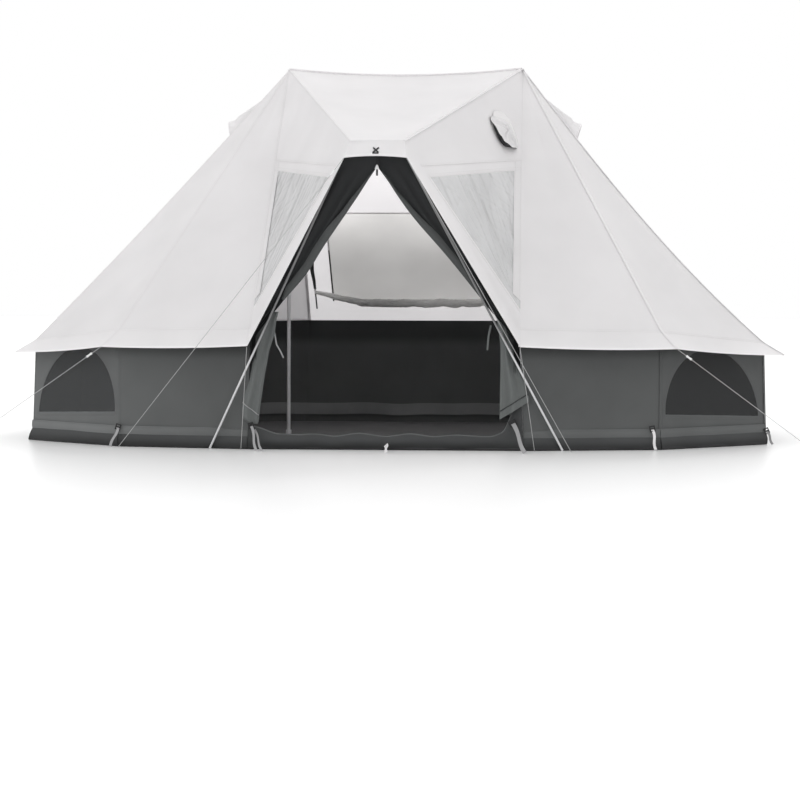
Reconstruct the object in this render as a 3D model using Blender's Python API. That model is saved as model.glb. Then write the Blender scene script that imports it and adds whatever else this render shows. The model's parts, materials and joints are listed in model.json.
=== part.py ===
"""A two-pole hot tent with a ridge, a hooded door and short walls.

Metres, +Z up, the door faces -Y. Every panel is cut to the corners of one shared
canopy, so a change of one driving size moves all the panels that meet there.
"""

import math

import bmesh
import bpy
import numpy as np
from mathutils import Matrix, Vector
from mathutils.geometry import tessellate_polygon

# Clearances and cloth
SEAM_GAP = 0.0003
CLOTH = 0.003

# Ridge and hood
RIDGE_HEIGHT = 2.80
RIDGE_HALF = 0.894
RIDGE_SAG = 0.05
RIDGE_PANEL_SAG = 0.03
HOOD_HALF = 0.2145
HOOD_REACH = 2.346
HOOD_HEIGHT = 2.022
HOOD_ARCH = 0.012
HOOD_BULGE = 0.012
HOOD_SHIFT = -0.034
CREST_SHIFT = -0.026
CREST_HALF = 0.185
CREST_RISE = 0.120

# Eave corners: half width, reach from the middle, height
EAVE_DOOR = (0.948, 2.088, 0.710)
EAVE_SIDE = (2.034, 1.734, 0.710)
EAVE_END = (2.829, 0.926, 0.648)

# Knee corners, where the roof turns out over the wall, and the wall's feet
KNEE_DOOR_HEIGHT = 0.850
KNEE_SIDE = (1.930, 1.620, 0.830)
KNEE_END = (2.680, 0.895, 0.738)
BASE_DOOR = (0.966, 1.893)
BASE_SIDE = (1.917, 1.671)
BASE_END = (2.690, 0.930)

# Clear windows beside the door
WINDOW_TOP_share = 0.622
WINDOW_FOOT_share = 0.125
WINDOW_INNER_share = 0.202

# Mesh windows in the ends
END_WINDOW_TOP_share = 0.355
END_WINDOW_FOOT_share = 0.865
END_WINDOW_EDGE_TOP = 0.045
END_WINDOW_EDGE_FOOT = 0.085

# Vents over the end windows
VENT_TOP_share = 0.0976
VENT_MOUTH_share = 0.2512
VENT_HALF = 0.13
VENT_RISE = 0.100
VENT_SLANT = 0.076
VENT_TIP_share = 0.05
VENT_STEPS = 12
VENT_ROWS = 5

# How the end panels hang in between the pole tips and the end walls
END_SAG = {"l": 0.018, "r": 0.069}
END_SAG_scale = 1.5 * math.sqrt(3)
END_PANE_shares = (0.33, 0.67)

# Window in the back
BACK_WINDOW_TOP_share = 0.515
BACK_WINDOW_FOOT_share = 0.852
BACK_WINDOW_HALF = 0.725
BACK_WINDOW_CORNER = 0.14
CORNER_STEPS = 5
ROLL_RADIUS = 0.034
ROLL_END_RADIUS = 0.013
ROLL_HALF = 0.87
ROLL_LEVEL_share = 0.55
ROLL_RISE = 0.129
ROLL_STEPS = 18

# Half-moon mesh windows in the front corner walls
MOON_RADIUS = 0.45
MOON_FOOT = 0.24
MOON_STEPS = 16

# Stove jack on the right of the door
JACK_APEX_share = 0.666
JACK_HOOD_share = 0.156
PIPE_HOLE_RADIUS = 0.060
ROOF_HOLE_RADIUS = 0.075
JACK_PATCH_HALF = (0.135, 0.140)
JACK_FLAP_HALF = (0.150, 0.155)
JACK_FLAP_RISE = 0.055
JACK_FLAP_GAPE = 0.050
JACK_GAPE_TURN = 2.3
JACK_SQUARENESS = 3.2
JACK_STEPS = 24
JACK_ROWS = 4

# Door leaves, tied back
LEAF_TOP_HEIGHT = 2.055
LEAF_MEET_DROP = 0.090
LEAF_MEET_HEIGHT = LEAF_TOP_HEIGHT - LEAF_MEET_DROP
LEAF_FOOT_HEIGHT = 0.180
LEAF_FOLD_DEPTH = 0.016
LEAF_FOLDS = 3
LEAF_COLUMNS = 14
LEAF_ROWS = 26
LEAF_TIE_HEIGHT = 0.99
LEAF_TIE_HALF = 0.737
LEAF_FOOT_HALF = 0.842
LEAF_TURN_share = 0.30
LEAF_BEHIND_LEG = 0.030

# Sill and groundsheet
SILL_HEIGHT = 0.115
SILL_WAVE = 0.010
SILL_WAVES = 5
SILL_TOP_WAVE = 0.006
SILL_COLUMNS = 30
SILL_ROWS = 4
GROUNDSHEET_THICKNESS = 0.004

# Ridge poles
POLE_RADIUS = 0.014
POLE_BORE = 0.0122
POLE_JOINT_HEIGHT = 1.36
POLE_SPIGOT = 0.12
POLE_FOOT_RADIUS = 0.021
POLE_FOOT_HEIGHT = 0.030
POLE_TIP_RADIUS = 0.004
POLE_TIP_HEIGHT = 0.020
POLE_TIP_DROP = 0.0104
POLE_TIP_SAG_share = 0.009
POLE_SIDES = 20

# Door frame legs
LEG_RADIUS = 0.008
LEG_FOOT = (1.237, 1.859)
LEG_TOP_IN = {"l": 0.0, "r": 0.045}
LEG_SIDES = 12
BAR_BACK = 0.018
BAR_CLEARANCE = 0.0012
ELBOW_RADIUS = 0.05
ELBOW_STEPS = 5

# Zip pull
PULL_LENGTH = 0.075
PULL_WIDTH = 0.012
PULL_DEPTH = 0.004
PULL_OVERLAP = 0.014
PULL_shares = (1.0, 1.0, 0.45, 0.45, 0.9, 0.9)

# Guylines: routes as points, from the tent to the ground
LINE_RADIUS = 0.002
LINE_POINTS = 15
LINE_LIFT = 0.0026
HOOD_LINE_CLEARANCE = 0.0025
HOOD_LINE_END_RIGHT = (1.300, -2.010, 0.0)
HOOD_LINE_END_LEFT = (-1.900, -1.800, 0.0)
EAVE_LINE_END_RIGHT = (2.990, -2.276, 0.0)
EAVE_LINE_END_LEFT = (-2.936, -2.427, 0.0)
TIE_LINE_END = (1.040, -1.955, 0.0)
EAVE_LINE_CLEARANCE = 0.0008
TIE_LINE_CLEARANCE = 0.0026

# Runners that tighten the guylines
RUNNER_BORE = 0.0025
RUNNER_RADIUS = 0.009
RUNNER_WAIST = 0.006
RUNNER_LENGTH = 0.045
RUNNER_SIDES = 12
EAVE_RUNNER_PLACE = 0.11
HOOD_RUNNER_PLACE = 0.13

INSIDE = Vector((0.0, 0.0, RIDGE_HEIGHT / 2))
UP = Vector((0.0, 0.0, 1.0))

FINISHES = {
    "roof_cloth": ((0.76, 0.75, 0.755, 1.0), 0.85, 0.0),
    "wall_cloth": ((0.085, 0.088, 0.088, 1.0), 0.85, 0.0),
    "door_cloth": ((0.022, 0.024, 0.024, 1.0), 0.85, 0.0),
    "floor_cloth": ((0.030, 0.031, 0.032, 1.0), 0.75, 0.0),
    "mesh": ((0.045, 0.047, 0.048, 1.0), 0.90, 0.0),
    "clear_film": ((0.62, 0.62, 0.62, 0.45), 0.25, 0.0),
    "steel": ((0.45, 0.45, 0.46, 1.0), 0.35, 1.0),
    "cord": ((0.60, 0.60, 0.60, 1.0), 0.80, 0.0),
    "plastic": ((0.70, 0.70, 0.70, 1.0), 0.50, 0.0),
    "heat_patch": ((0.55, 0.54, 0.53, 1.0), 0.70, 0.0),
}


def clear_scene():
    """Remove whatever the scene holds."""
    for thing in list(bpy.data.objects):
        bpy.data.objects.remove(thing, do_unlink=True)


def finish(name):
    """The material of that name, made once."""
    if name in bpy.data.materials:
        return bpy.data.materials[name]
    color, roughness, metallic = FINISHES[name]
    material = bpy.data.materials.new(name)
    material.use_nodes = True
    shader = material.node_tree.nodes["Principled BSDF"]
    shader.inputs["Base Color"].default_value = color
    shader.inputs["Roughness"].default_value = roughness
    shader.inputs["Metallic"].default_value = metallic
    shader.inputs["Alpha"].default_value = color[3]
    return material


def add_object(name, bm, material):
    """A mesh object from a closed bmesh, with its faces turned out."""
    bmesh.ops.recalc_face_normals(bm, faces=bm.faces)
    mesh = bpy.data.meshes.new(name)
    bm.to_mesh(mesh)
    bm.free()
    thing = bpy.data.objects.new(name, mesh)
    thing.data.materials.append(finish(material))
    bpy.context.scene.collection.objects.link(thing)
    return thing


def move_origin(thing, origin):
    """Put an object's origin on a point, with its shape left in place."""
    thing.data.transform(Matrix.Translation(-origin))
    thing.location = origin


def normal_of(points):
    """The unit normal of a polygon, whatever its number of corners."""
    total = Vector()
    for a, b in zip(points, points[1:] + points[:1]):
        total += (a - points[0]).cross(b - points[0])
    return total.normalized()


def outward(points):
    """The polygon's unit normal, turned away from the middle of the tent."""
    normal = normal_of(points)
    return normal if normal.dot(points[0] - INSIDE) > 0 else -normal


def mitre(normals, thickness):
    """The step from an outer corner to an inner one, under all the panels that meet there."""
    rows = np.array([tuple(n) for n in normals])
    step = np.linalg.lstsq(rows, np.full(len(rows), -thickness), rcond=0.05)[0]
    return Vector([float(x) for x in step])


def directed_edges(faces):
    """Each face's edges in its own direction, with the face they belong to."""
    return {(f[i], f[(i + 1) % len(f)]): f for f in faces for i in range(len(f))}


def rim_of(faces):
    """The next point after each point along the sheet's free edges."""
    edges = directed_edges(faces)
    return {a: b for a, b in edges if (b, a) not in edges}


def drawn_in(points, faces, distance):
    """The points, with those on the free edges moved into the sheet by the distance."""
    edges = directed_edges(faces)
    rim = rim_of(faces)
    before = {b: a for a, b in rim.items()}
    moved = [p.copy() for p in points]
    for here, after in rim.items():
        back = before[here]
        face_in = [points[i] for i in edges[(back, here)]]
        face_out = [points[i] for i in edges[(here, after)]]
        left_in = normal_of(face_in).cross(points[here] - points[back]).normalized()
        left_out = normal_of(face_out).cross(points[after] - points[here]).normalized()
        spread = max(1 + left_in.dot(left_out), 0.05)
        moved[here] = points[here] + (left_in + left_out) * (distance / spread)
    return moved


def sheet_solid(name, points, faces, inward, material):
    """A closed panel of cloth: its outer points, their faces and each point's step inward."""
    outer = drawn_in(points, faces, SEAM_GAP / 2)
    bm = bmesh.new()
    top = [bm.verts.new(p) for p in outer]
    low = [bm.verts.new(p + step) for p, step in zip(outer, inward)]
    for face in faces:
        bm.faces.new([top[i] for i in face])
        bm.faces.new([low[i] for i in reversed(face)])
    for a, b in rim_of(faces).items():
        high_first = (points[a].z, abs(points[a].x)) > (points[b].z, abs(points[b].x))
        if high_first:
            bm.faces.new([top[b], top[a], low[b]])
            bm.faces.new([top[a], low[a], low[b]])
        else:
            bm.faces.new([top[b], top[a], low[a]])
            bm.faces.new([top[b], low[a], low[b]])
    return add_object(name, bm, material)


def pierced_faces(outline, hole):
    """Triangles that fill an outline round one hole; the hole's points follow the outline's."""
    triangles = tessellate_polygon([outline, hole])
    points = outline + hole
    facing = normal_of(outline)
    turned = []
    for a, b, c in triangles:
        same_way = normal_of([points[a], points[b], points[c]]).dot(facing) > 0
        turned.append([a, b, c] if same_way else [a, c, b])
    return turned


def grid_faces(rows, columns):
    """Triangles of a grid of points kept row by row."""
    faces = []
    for r in range(rows - 1):
        for c in range(columns - 1):
            corner = r * columns + c
            below = corner + columns
            faces.append([corner, below, below + 1])
            faces.append([corner, below + 1, corner + 1])
    return faces


def grid_solid(name, rows, inward_rows, material):
    """A closed panel from rows of outer points and rows of their steps inward."""
    points = [p for row in rows for p in row]
    inward = [p for row in inward_rows for p in row]
    return sheet_solid(name, points, grid_faces(len(rows), len(rows[0])), inward, material)


def ringed_solid(name, rings, material, closed_loop=False):
    """A closed solid through rings of points; its ends are capped, or the last meets the first."""
    bm = bmesh.new()
    made = [[bm.verts.new(p) for p in ring] for ring in rings]
    pairs = list(zip(made, made[1:]))
    if closed_loop:
        pairs.append((made[-1], made[0]))
    else:
        bm.faces.new(list(reversed(made[0])))
        bm.faces.new(made[-1])
    for low, high in pairs:
        count = len(low)
        for i in range(count):
            j = (i + 1) % count
            bm.faces.new([low[i], low[j], high[j], high[i]])
    return add_object(name, bm, material)


def circle(centre, side, front, radius, sides):
    """Points round a centre, in the plane of two unit directions."""
    turns = [math.tau * i / sides for i in range(sides)]
    return [centre + side * (radius * math.cos(t)) + front * (radius * math.sin(t)) for t in turns]


def turned(name, centre, profile, sides, material, axis=UP, closed_loop=False):
    """A turned solid from (radius, height) pairs along an axis; a loop of pairs leaves a bore."""
    side = axis.orthogonal().normalized()
    front = axis.cross(side).normalized()
    rings = [circle(centre + axis * h, side, front, r, sides) for r, h in profile]
    thing = ringed_solid(name, rings, material, closed_loop)
    thing.data.shade_smooth()
    thing.data.set_sharp_from_angle(angle=math.radians(30))
    return thing


def swept_tube(name, path, radii, sides, material):
    """A round bar that follows a path, with its own radius at each point."""
    rings = []
    side = (path[1] - path[0]).orthogonal().normalized()
    for i, point in enumerate(path):
        ahead = path[min(i + 1, len(path) - 1)] - point
        behind = point - path[max(i - 1, 0)]
        along = (ahead.normalized() + behind.normalized()).normalized()
        side = (side - along * side.dot(along)).normalized()
        rings.append(circle(point, side, along.cross(side), radii[i], sides))
    thing = ringed_solid(name, rings, material)
    thing.data.shade_smooth()
    thing.data.set_sharp_from_angle(angle=math.radians(40))
    return thing


def mixed(a, b, share):
    """The point or step that lies at a share of the way from a to b."""
    return a + (b - a) * share


def end_row_shares():
    """How far down an end panel its rows of points lie: the vent's, then the window's."""
    panes = [mixed(END_WINDOW_TOP_share, END_WINDOW_FOOT_share, s) for s in END_PANE_shares]
    vent = [VENT_TOP_share, VENT_MOUTH_share]
    return vent + [END_WINDOW_TOP_share] + panes + [END_WINDOW_FOOT_share]


END_ROWS = end_row_shares()


def end_sag(tag, share):
    """How far an end panel hangs in at a share of the way down, most of it below the middle."""
    return END_SAG[tag] * END_SAG_scale * share * (1 - share**2)


def canopy_corners():
    """The canopy's corners by name: l or r for the side, f or b for front or back."""
    spots = {}
    for tag, side in (("l", -1), ("r", 1)):
        apex = Vector((side * RIDGE_HALF, 0.0, RIDGE_HEIGHT))
        hood = Vector((side * HOOD_HALF + HOOD_SHIFT, -HOOD_REACH, HOOD_HEIGHT))
        spots["apex_" + tag] = apex
        spots["hood_" + tag] = hood
        for end, way in (("f", -1), ("b", 1)):
            key = "_" + tag + end
            door = Vector((side * EAVE_DOOR[0], way * EAVE_DOOR[1], EAVE_DOOR[2]))
            spots["eave0" + key] = door
            spots["eave1" + key] = Vector((side * EAVE_SIDE[0], way * EAVE_SIDE[1], EAVE_SIDE[2]))
            spots["eave2" + key] = Vector((side * EAVE_END[0], way * EAVE_END[1], EAVE_END[2]))
            drop_share = (RIDGE_HEIGHT - KNEE_DOOR_HEIGHT) / (RIDGE_HEIGHT - EAVE_DOOR[2])
            spots["knee0" + key] = mixed(apex, door, drop_share)
            spots["knee1" + key] = Vector((side * KNEE_SIDE[0], way * KNEE_SIDE[1], KNEE_SIDE[2]))
            spots["knee2" + key] = Vector((side * KNEE_END[0], way * KNEE_END[1], KNEE_END[2]))
        normal = outward([apex, hood, spots["eave0_" + tag + "f"]])
        crest = Vector((side * CREST_HALF + CREST_SHIFT, 0.0, HOOD_HEIGHT + CREST_RISE))
        crest.y = -(normal.dot(crest) - normal.dot(hood)) / normal.y
        spots["crest_" + tag] = crest
        foot = mixed(spots["eave0_" + tag + "f"], apex, WINDOW_FOOT_share)
        spots["window_foot_" + tag] = foot
        spots["window_top_" + tag] = mixed(spots["eave0_" + tag + "f"], apex, WINDOW_TOP_share)
        spots["window_inner_" + tag] = mixed(crest, foot, WINDOW_INNER_share)
        knees = [spots["knee2_" + tag + end] for end in "fb"]
        facing = outward([apex] + knees)
        for number, share in enumerate(END_ROWS):
            for end, knee in zip("fb", knees):
                sagged = mixed(apex, knee, share) - facing * end_sag(tag, share)
                spots["seam%d_%s%s" % (number, tag, end)] = sagged
    return spots


SPOTS = canopy_corners()

CANOPY_PLANES = [
    ("apex_l", "apex_r", "crest_r", "crest_l"),
    ("crest_l", "crest_r", "hood_r", "hood_l"),
    ("apex_l", "apex_r", "eave0_rb", "eave0_lb"),
]
for _side in "lr":
    CANOPY_PLANES.append(("apex_" + _side, "crest_" + _side, "hood_" + _side, "eave0_" + _side + "f"))
    CANOPY_PLANES.append(("apex_" + _side, "knee2_" + _side + "f", "knee2_" + _side + "b"))
    CANOPY_PLANES.append(tuple(k + _side + e for k in ("knee2_", "eave2_") for e in "fb"))
    for _end in "fb":
        _key = "_" + _side + _end
        CANOPY_PLANES.append(("apex_" + _side, "knee0" + _key, "knee1" + _key))
        CANOPY_PLANES.append(("knee0" + _key, "eave0" + _key, "eave1" + _key))
        CANOPY_PLANES.append(("apex_" + _side, "knee1" + _key, "knee2" + _key))
        CANOPY_PLANES.append(("knee1" + _key, "eave1" + _key, "eave2" + _key, "knee2" + _key))


def canopy_steps():
    """The step from each outer corner of the canopy to its inner one."""
    steps = {}
    for key in SPOTS:
        planes = [outward([SPOTS[k] for k in plane[:3]]) for plane in CANOPY_PLANES if key in plane]
        if planes:
            steps[key] = mitre(planes, CLOTH)
    drop_share = (RIDGE_HEIGHT - KNEE_DOOR_HEIGHT) / (RIDGE_HEIGHT - EAVE_DOOR[2])
    for tag in "lr":
        apex = steps["apex_" + tag]
        for end in "fb":
            key = "_" + tag + end
            steps["knee0" + key] = mixed(apex, steps["eave0" + key], drop_share)
            for number, share in enumerate(END_ROWS):
                steps["seam%d%s" % (number, key)] = mixed(apex, steps["knee2" + key], share)
        door = steps["eave0_" + tag + "f"]
        foot = mixed(door, apex, WINDOW_FOOT_share)
        steps["window_foot_" + tag] = foot
        steps["window_top_" + tag] = mixed(door, apex, WINDOW_TOP_share)
        steps["window_inner_" + tag] = mixed(steps["crest_" + tag], foot, WINDOW_INNER_share)
    return steps


STEPS = canopy_steps()


def panel(name, keys, faces, material):
    """A panel between named corners of the canopy."""
    return sheet_solid(name, [SPOTS[k] for k in keys], faces, [STEPS[k] for k in keys], material)


def pierced_panel(name, keys, outline_count, band_faces, hole, normal, material):
    """A canopy panel with one window hole, and its eave band past the outline's corners."""
    outline = [SPOTS[k] for k in keys[:outline_count]]
    points = [SPOTS[k] for k in keys] + hole
    moved = len(keys) - outline_count
    faces = []
    for face in pierced_faces(outline, hole):
        faces.append([i if i < outline_count else i + moved for i in face])
    facing = normal_of(outline)
    for face in band_faces:
        same_way = normal_of([points[i] for i in face]).dot(facing) > 0
        faces.append(face if same_way else list(reversed(face)))
    inward = [STEPS[k] for k in keys] + [-normal * CLOTH] * len(hole)
    return sheet_solid(name, points, faces, inward, material)


def flat_pane(name, outline, normal, material):
    """A flat pane in a hole."""
    centre = sum(outline, Vector()) / len(outline)
    count = len(outline)
    faces = [[i, (i + 1) % count, count] for i in range(count)]
    inward = [-normal * CLOTH] * (count + 1)
    return sheet_solid(name, outline + [centre], faces, inward, material)


def ridge_line(share):
    """A point on the ridge, which sags between the poles, and its step inward."""
    point = mixed(SPOTS["apex_l"], SPOTS["apex_r"], share)
    point.z -= RIDGE_SAG * 4 * share * (1 - share)
    return point, mixed(STEPS["apex_l"], STEPS["apex_r"], share)


RIDGE_COLUMNS = 9
RIDGE_ROWS = 7


def make_ridge_panel():
    """The panel from the ridge to the hood's crest, which sags in the middle."""
    normal = outward([SPOTS[k] for k in CANOPY_PLANES[0][:3]])
    rows = []
    steps = []
    for r in range(RIDGE_ROWS):
        down = r / (RIDGE_ROWS - 1)
        row = []
        step_row = []
        for c in range(RIDGE_COLUMNS):
            across = c / (RIDGE_COLUMNS - 1)
            top, top_step = ridge_line(across)
            crest = mixed(SPOTS["crest_l"], SPOTS["crest_r"], across)
            crest_step = mixed(STEPS["crest_l"], STEPS["crest_r"], across)
            point = mixed(top, crest, down)
            point.z -= RIDGE_PANEL_SAG * 4 * across * (1 - across) * 4 * down * (1 - down)
            on_edge = r in (0, RIDGE_ROWS - 1) or c in (0, RIDGE_COLUMNS - 1)
            row.append(point)
            step_row.append(mixed(top_step, crest_step, down) if on_edge else -normal * CLOTH)
        rows.append(row)
        steps.append(step_row)
    grid_solid("ridge_panel", rows, steps, "roof_cloth")


VISOR_ROWS = 4


def make_hood_visor():
    """The visor that turns down over the door frame's top bar."""
    rows = []
    steps = []
    for r in range(VISOR_ROWS):
        down = r / (VISOR_ROWS - 1)
        row = []
        step_row = []
        for c in range(RIDGE_COLUMNS):
            across = c / (RIDGE_COLUMNS - 1)
            crest = mixed(SPOTS["crest_l"], SPOTS["crest_r"], across)
            hood = mixed(SPOTS["hood_l"], SPOTS["hood_r"], across)
            crown = 4 * across * (1 - across)
            hood.z += HOOD_ARCH * crown
            point = mixed(crest, hood, down)
            point.y -= HOOD_BULGE * crown * math.sin(math.pi * down / 2)
            row.append(point)
            step_row.append(
                mixed(
                    mixed(STEPS["crest_l"], STEPS["crest_r"], across),
                    mixed(STEPS["hood_l"], STEPS["hood_r"], across),
                    down,
                )
            )
        rows.append(row)
        steps.append(step_row)
    grid_solid("hood_visor", rows, steps, "roof_cloth")


def jack_frame():
    """The stove jack's centre on the right door panel, with the panel's side, down and out."""
    apex = SPOTS["apex_r"]
    hood = SPOTS["hood_r"]
    door = SPOTS["eave0_rf"]
    eave_share = 1 - JACK_APEX_share - JACK_HOOD_share
    centre = apex * JACK_APEX_share + hood * JACK_HOOD_share + door * eave_share
    out = outward([apex, hood, door])
    down = (-UP - out * (-UP).dot(out)).normalized()
    return centre, out.cross(down).normalized(), down, out


def rounded(centre, side, down, halves, turn):
    """A point on a rounded square outline."""
    bend = 2 / JACK_SQUARENESS
    across = math.copysign(abs(math.cos(turn)) ** bend, math.cos(turn)) * halves[0]
    along = math.copysign(abs(math.sin(turn)) ** bend, math.sin(turn)) * halves[1]
    return centre + side * across + down * along


def make_door_side(tag):
    """The panel over a clear window, the window, and the wide hem along the door frame."""
    name = {"l": "left", "r": "right"}[tag]
    top = ["apex_" + tag, "crest_" + tag, "window_inner_" + tag, "window_top_" + tag]
    if tag == "l":
        panel("roof_door_left", top, [[0, 1, 2], [0, 2, 3]], "roof_cloth")
    else:
        centre, side, down, out = jack_frame()
        hole = circle(centre, side, down, ROOF_HOLE_RADIUS, JACK_STEPS)
        pierced_panel("roof_door_right", top, 4, [], hole, out, "roof_cloth")
    glass = ["window_top_" + tag, "window_inner_" + tag, "window_foot_" + tag]
    panel("clear_window_" + name, glass, [[0, 1, 2]], "clear_film")
    hem = ["crest_" + tag, "hood_" + tag, "eave0_" + tag + "f", "window_foot_" + tag]
    panel("door_hem_" + name, hem, [[0, 1, 3], [1, 2, 3]], "roof_cloth")


def make_roof_sides(tag):
    """The sewn panels round one end of the roof, each with its flared eave band."""
    name = {"l": "left", "r": "right"}[tag]
    banded = [[0, 1, 2], [1, 3, 4], [1, 4, 2]]
    for end, word in (("f", "front"), ("b", "rear")):
        key = "_" + tag + end
        side_keys = ["apex_" + tag, "knee0" + key, "knee1" + key, "eave0" + key, "eave1" + key]
        panel("roof_" + word + "_" + name, side_keys, banded, "roof_cloth")
        corner_keys = ["apex_" + tag, "knee1" + key, "knee2" + key, "eave1" + key, "eave2" + key]
        first = len(corner_keys)
        corner_keys += ["seam%d%s" % (number, key) for number in range(len(END_ROWS))]
        seam = [0] + list(range(first, len(corner_keys))) + [2]
        faces = [[high, 1, low] for high, low in zip(seam, seam[1:])] + banded[1:]
        panel("roof_" + word + "_corner_" + name, corner_keys, faces, "roof_cloth")


def end_row_faces(row, below, jambs, jambs_below):
    """Triangles between two rows of an end panel, each with or without a window's jambs."""
    front, back = row
    low_front, low_back = below
    if jambs and jambs_below:
        (left, right), (low_left, low_right) = jambs, jambs_below
        faces = [[front, low_front, low_left], [front, low_left, left]]
        return faces + [[right, low_right, low_back], [right, low_back, back]]
    if jambs:
        left, right = jambs
        faces = [[front, low_front, left], [left, low_front, low_back]]
        return faces + [[left, low_back, right], [right, low_back, back]]
    if jambs_below:
        left, right = jambs_below
        faces = [[front, low_front, left], [front, left, right]]
        return faces + [[front, right, back], [back, right, low_back]]
    return [[front, low_front, low_back], [front, low_back, back]]


def make_roof_end(tag):
    """The end panel, which hangs in between its seams, with its mesh window."""
    name = {"l": "left", "r": "right"}[tag]
    keys = ["apex_" + tag]
    keys += ["seam%d_%s%s" % (number, tag, end) for number in range(len(END_ROWS)) for end in "fb"]
    keys += [corner + tag + end for corner in ("knee2_", "eave2_") for end in "fb"]
    points = [SPOTS[k] for k in keys]
    inward = [STEPS[k] for k in keys]
    normal = outward([SPOTS["apex_" + tag], SPOTS["knee2_" + tag + "f"], SPOTS["knee2_" + tag + "b"]])
    rows = [(i, i + 1) for i in range(1, len(keys), 2)]
    jambs = [None] * len(rows)
    pane = []
    for number, share in enumerate(END_ROWS):
        if share < END_WINDOW_TOP_share:
            continue
        down = (share - END_WINDOW_TOP_share) / (END_WINDOW_FOOT_share - END_WINDOW_TOP_share)
        edge = mixed(END_WINDOW_EDGE_TOP, END_WINDOW_EDGE_FOOT, down)
        front, back = rows[number]
        jambs[number] = (len(points), len(points) + 1)
        pane.append([points[front] + Vector((0.0, edge, 0.0)), points[back] - Vector((0.0, edge, 0.0))])
        points += pane[-1]
        inward += [-normal * CLOTH] * 2
    faces = [[0, 1, 2]]
    for i in range(len(rows) - 1):
        faces += end_row_faces(rows[i], rows[i + 1], jambs[i], jambs[i + 1])
    sheet_solid("roof_end_" + name, points, faces, inward, "roof_cloth")
    steps = [[-normal * CLOTH] * 2 for _ in pane]
    grid_solid("end_window_" + name, pane, steps, "mesh")


def make_end_vent(tag):
    """The hood over an end vent: half a cone that opens downwards."""
    name = {"l": "left", "r": "right"}[tag]
    top, mouth = [(SPOTS["seam%d_%sf" % (i, tag)] + SPOTS["seam%d_%sb" % (i, tag)]) / 2 for i in (0, 1)]
    normal = outward([SPOTS["seam%d_%s%s" % (i, tag, end)] for i, end in ((0, "f"), (1, "f"), (1, "b"))])
    seat = normal * SEAM_GAP
    slope = (mouth - top).normalized()
    across = Vector((0.0, 1.0, 0.0))
    rows = []
    steps = []
    for r in range(VENT_ROWS):
        share = mixed(VENT_TIP_share, 1.0, r / (VENT_ROWS - 1))
        centre = mixed(top, mouth, share) + seat
        row = []
        step_row = []
        for c in range(VENT_STEPS + 1):
            turn = math.pi * c / VENT_STEPS
            out = across * (math.cos(turn) * VENT_HALF) + normal * (math.sin(turn) * VENT_RISE)
            out -= slope * (math.sin(turn) * VENT_SLANT * share)
            row.append(centre + out * share)
            inward = across * math.cos(turn) + normal * math.sin(turn)
            step_row.append(-inward * CLOTH)
        rows.append(row)
        steps.append(step_row)
    for row, step_row in zip(rows, steps):
        step_row[0] = -across * CLOTH
        step_row[-1] = across * CLOTH
    grid_solid("end_vent_" + name, rows, steps, "roof_cloth")


def back_window_outline():
    """The back window's corners in the back panel, rounded at the top."""
    apex = Vector((0.0, 0.0, RIDGE_HEIGHT))
    door = SPOTS["eave0_rb"]
    foot = Vector((0.0, door.y, door.z))
    slope = (foot - apex).normalized()
    top = mixed(apex, foot, BACK_WINDOW_TOP_share)
    low = mixed(apex, foot, BACK_WINDOW_FOOT_share)
    across = Vector((1.0, 0.0, 0.0))
    outline = [low - across * BACK_WINDOW_HALF, low + across * BACK_WINDOW_HALF]
    for sign in (1, -1):
        centre = top + slope * BACK_WINDOW_CORNER
        centre += across * (sign * (BACK_WINDOW_HALF - BACK_WINDOW_CORNER))
        turns = [math.pi / 2 * i / CORNER_STEPS for i in range(CORNER_STEPS + 1)]
        arc = []
        for turn in turns:
            reach = across * (sign * math.cos(turn)) - slope * math.sin(turn)
            arc.append(centre + reach * BACK_WINDOW_CORNER)
        outline += arc if sign > 0 else list(reversed(arc))
    return outline, slope


def make_roof_back():
    """The back panel, its window, and the window's cover rolled along the foot inside."""
    outline, slope = back_window_outline()
    normal = outward([SPOTS["apex_l"], SPOTS["apex_r"], SPOTS["eave0_rb"]])
    ridge = [ridge_line(i / (RIDGE_COLUMNS - 1)) for i in range(RIDGE_COLUMNS)]
    border = [point for point, _ in ridge] + [SPOTS["knee0_rb"], SPOTS["knee0_lb"]]
    border_steps = [step for _, step in ridge] + [STEPS["knee0_rb"], STEPS["knee0_lb"]]
    eave = [SPOTS["eave0_rb"], SPOTS["eave0_lb"]]
    eave_steps = [STEPS["eave0_rb"], STEPS["eave0_lb"]]
    count = len(border)
    faces = [[i if i < count else i + 2 for i in f] for f in pierced_faces(border, outline)]
    right, left = count - 2, count - 1
    faces += [[left, right, right + 2], [left, right + 2, left + 2]]
    facing = normal_of(border)
    points = border + eave + outline
    faces = [
        f if normal_of([points[i] for i in f]).dot(facing) > 0 else list(reversed(f)) for f in faces
    ]
    inward = border_steps + eave_steps + [-normal * CLOTH] * len(outline)
    sheet_solid("roof_back", points, faces, inward, "roof_cloth")
    flat_pane("back_window", outline, normal, "clear_film")
    middle = (outline[0] + outline[1]) / 2 - normal * (CLOTH + ROLL_RADIUS + SEAM_GAP)
    path = []
    radii = []
    for i in range(ROLL_STEPS + 1):
        along = 2 * i / ROLL_STEPS - 1
        past = max(0.0, (abs(along) - ROLL_LEVEL_share) / (1 - ROLL_LEVEL_share))
        path.append(middle + Vector((along * ROLL_HALF, 0.0, 0.0)) - slope * (ROLL_RISE * past))
        radii.append(mixed(ROLL_RADIUS, ROLL_END_RADIUS, past))
    swept_tube("back_window_roll", path, radii, LEG_SIDES, "clear_film")


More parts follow.
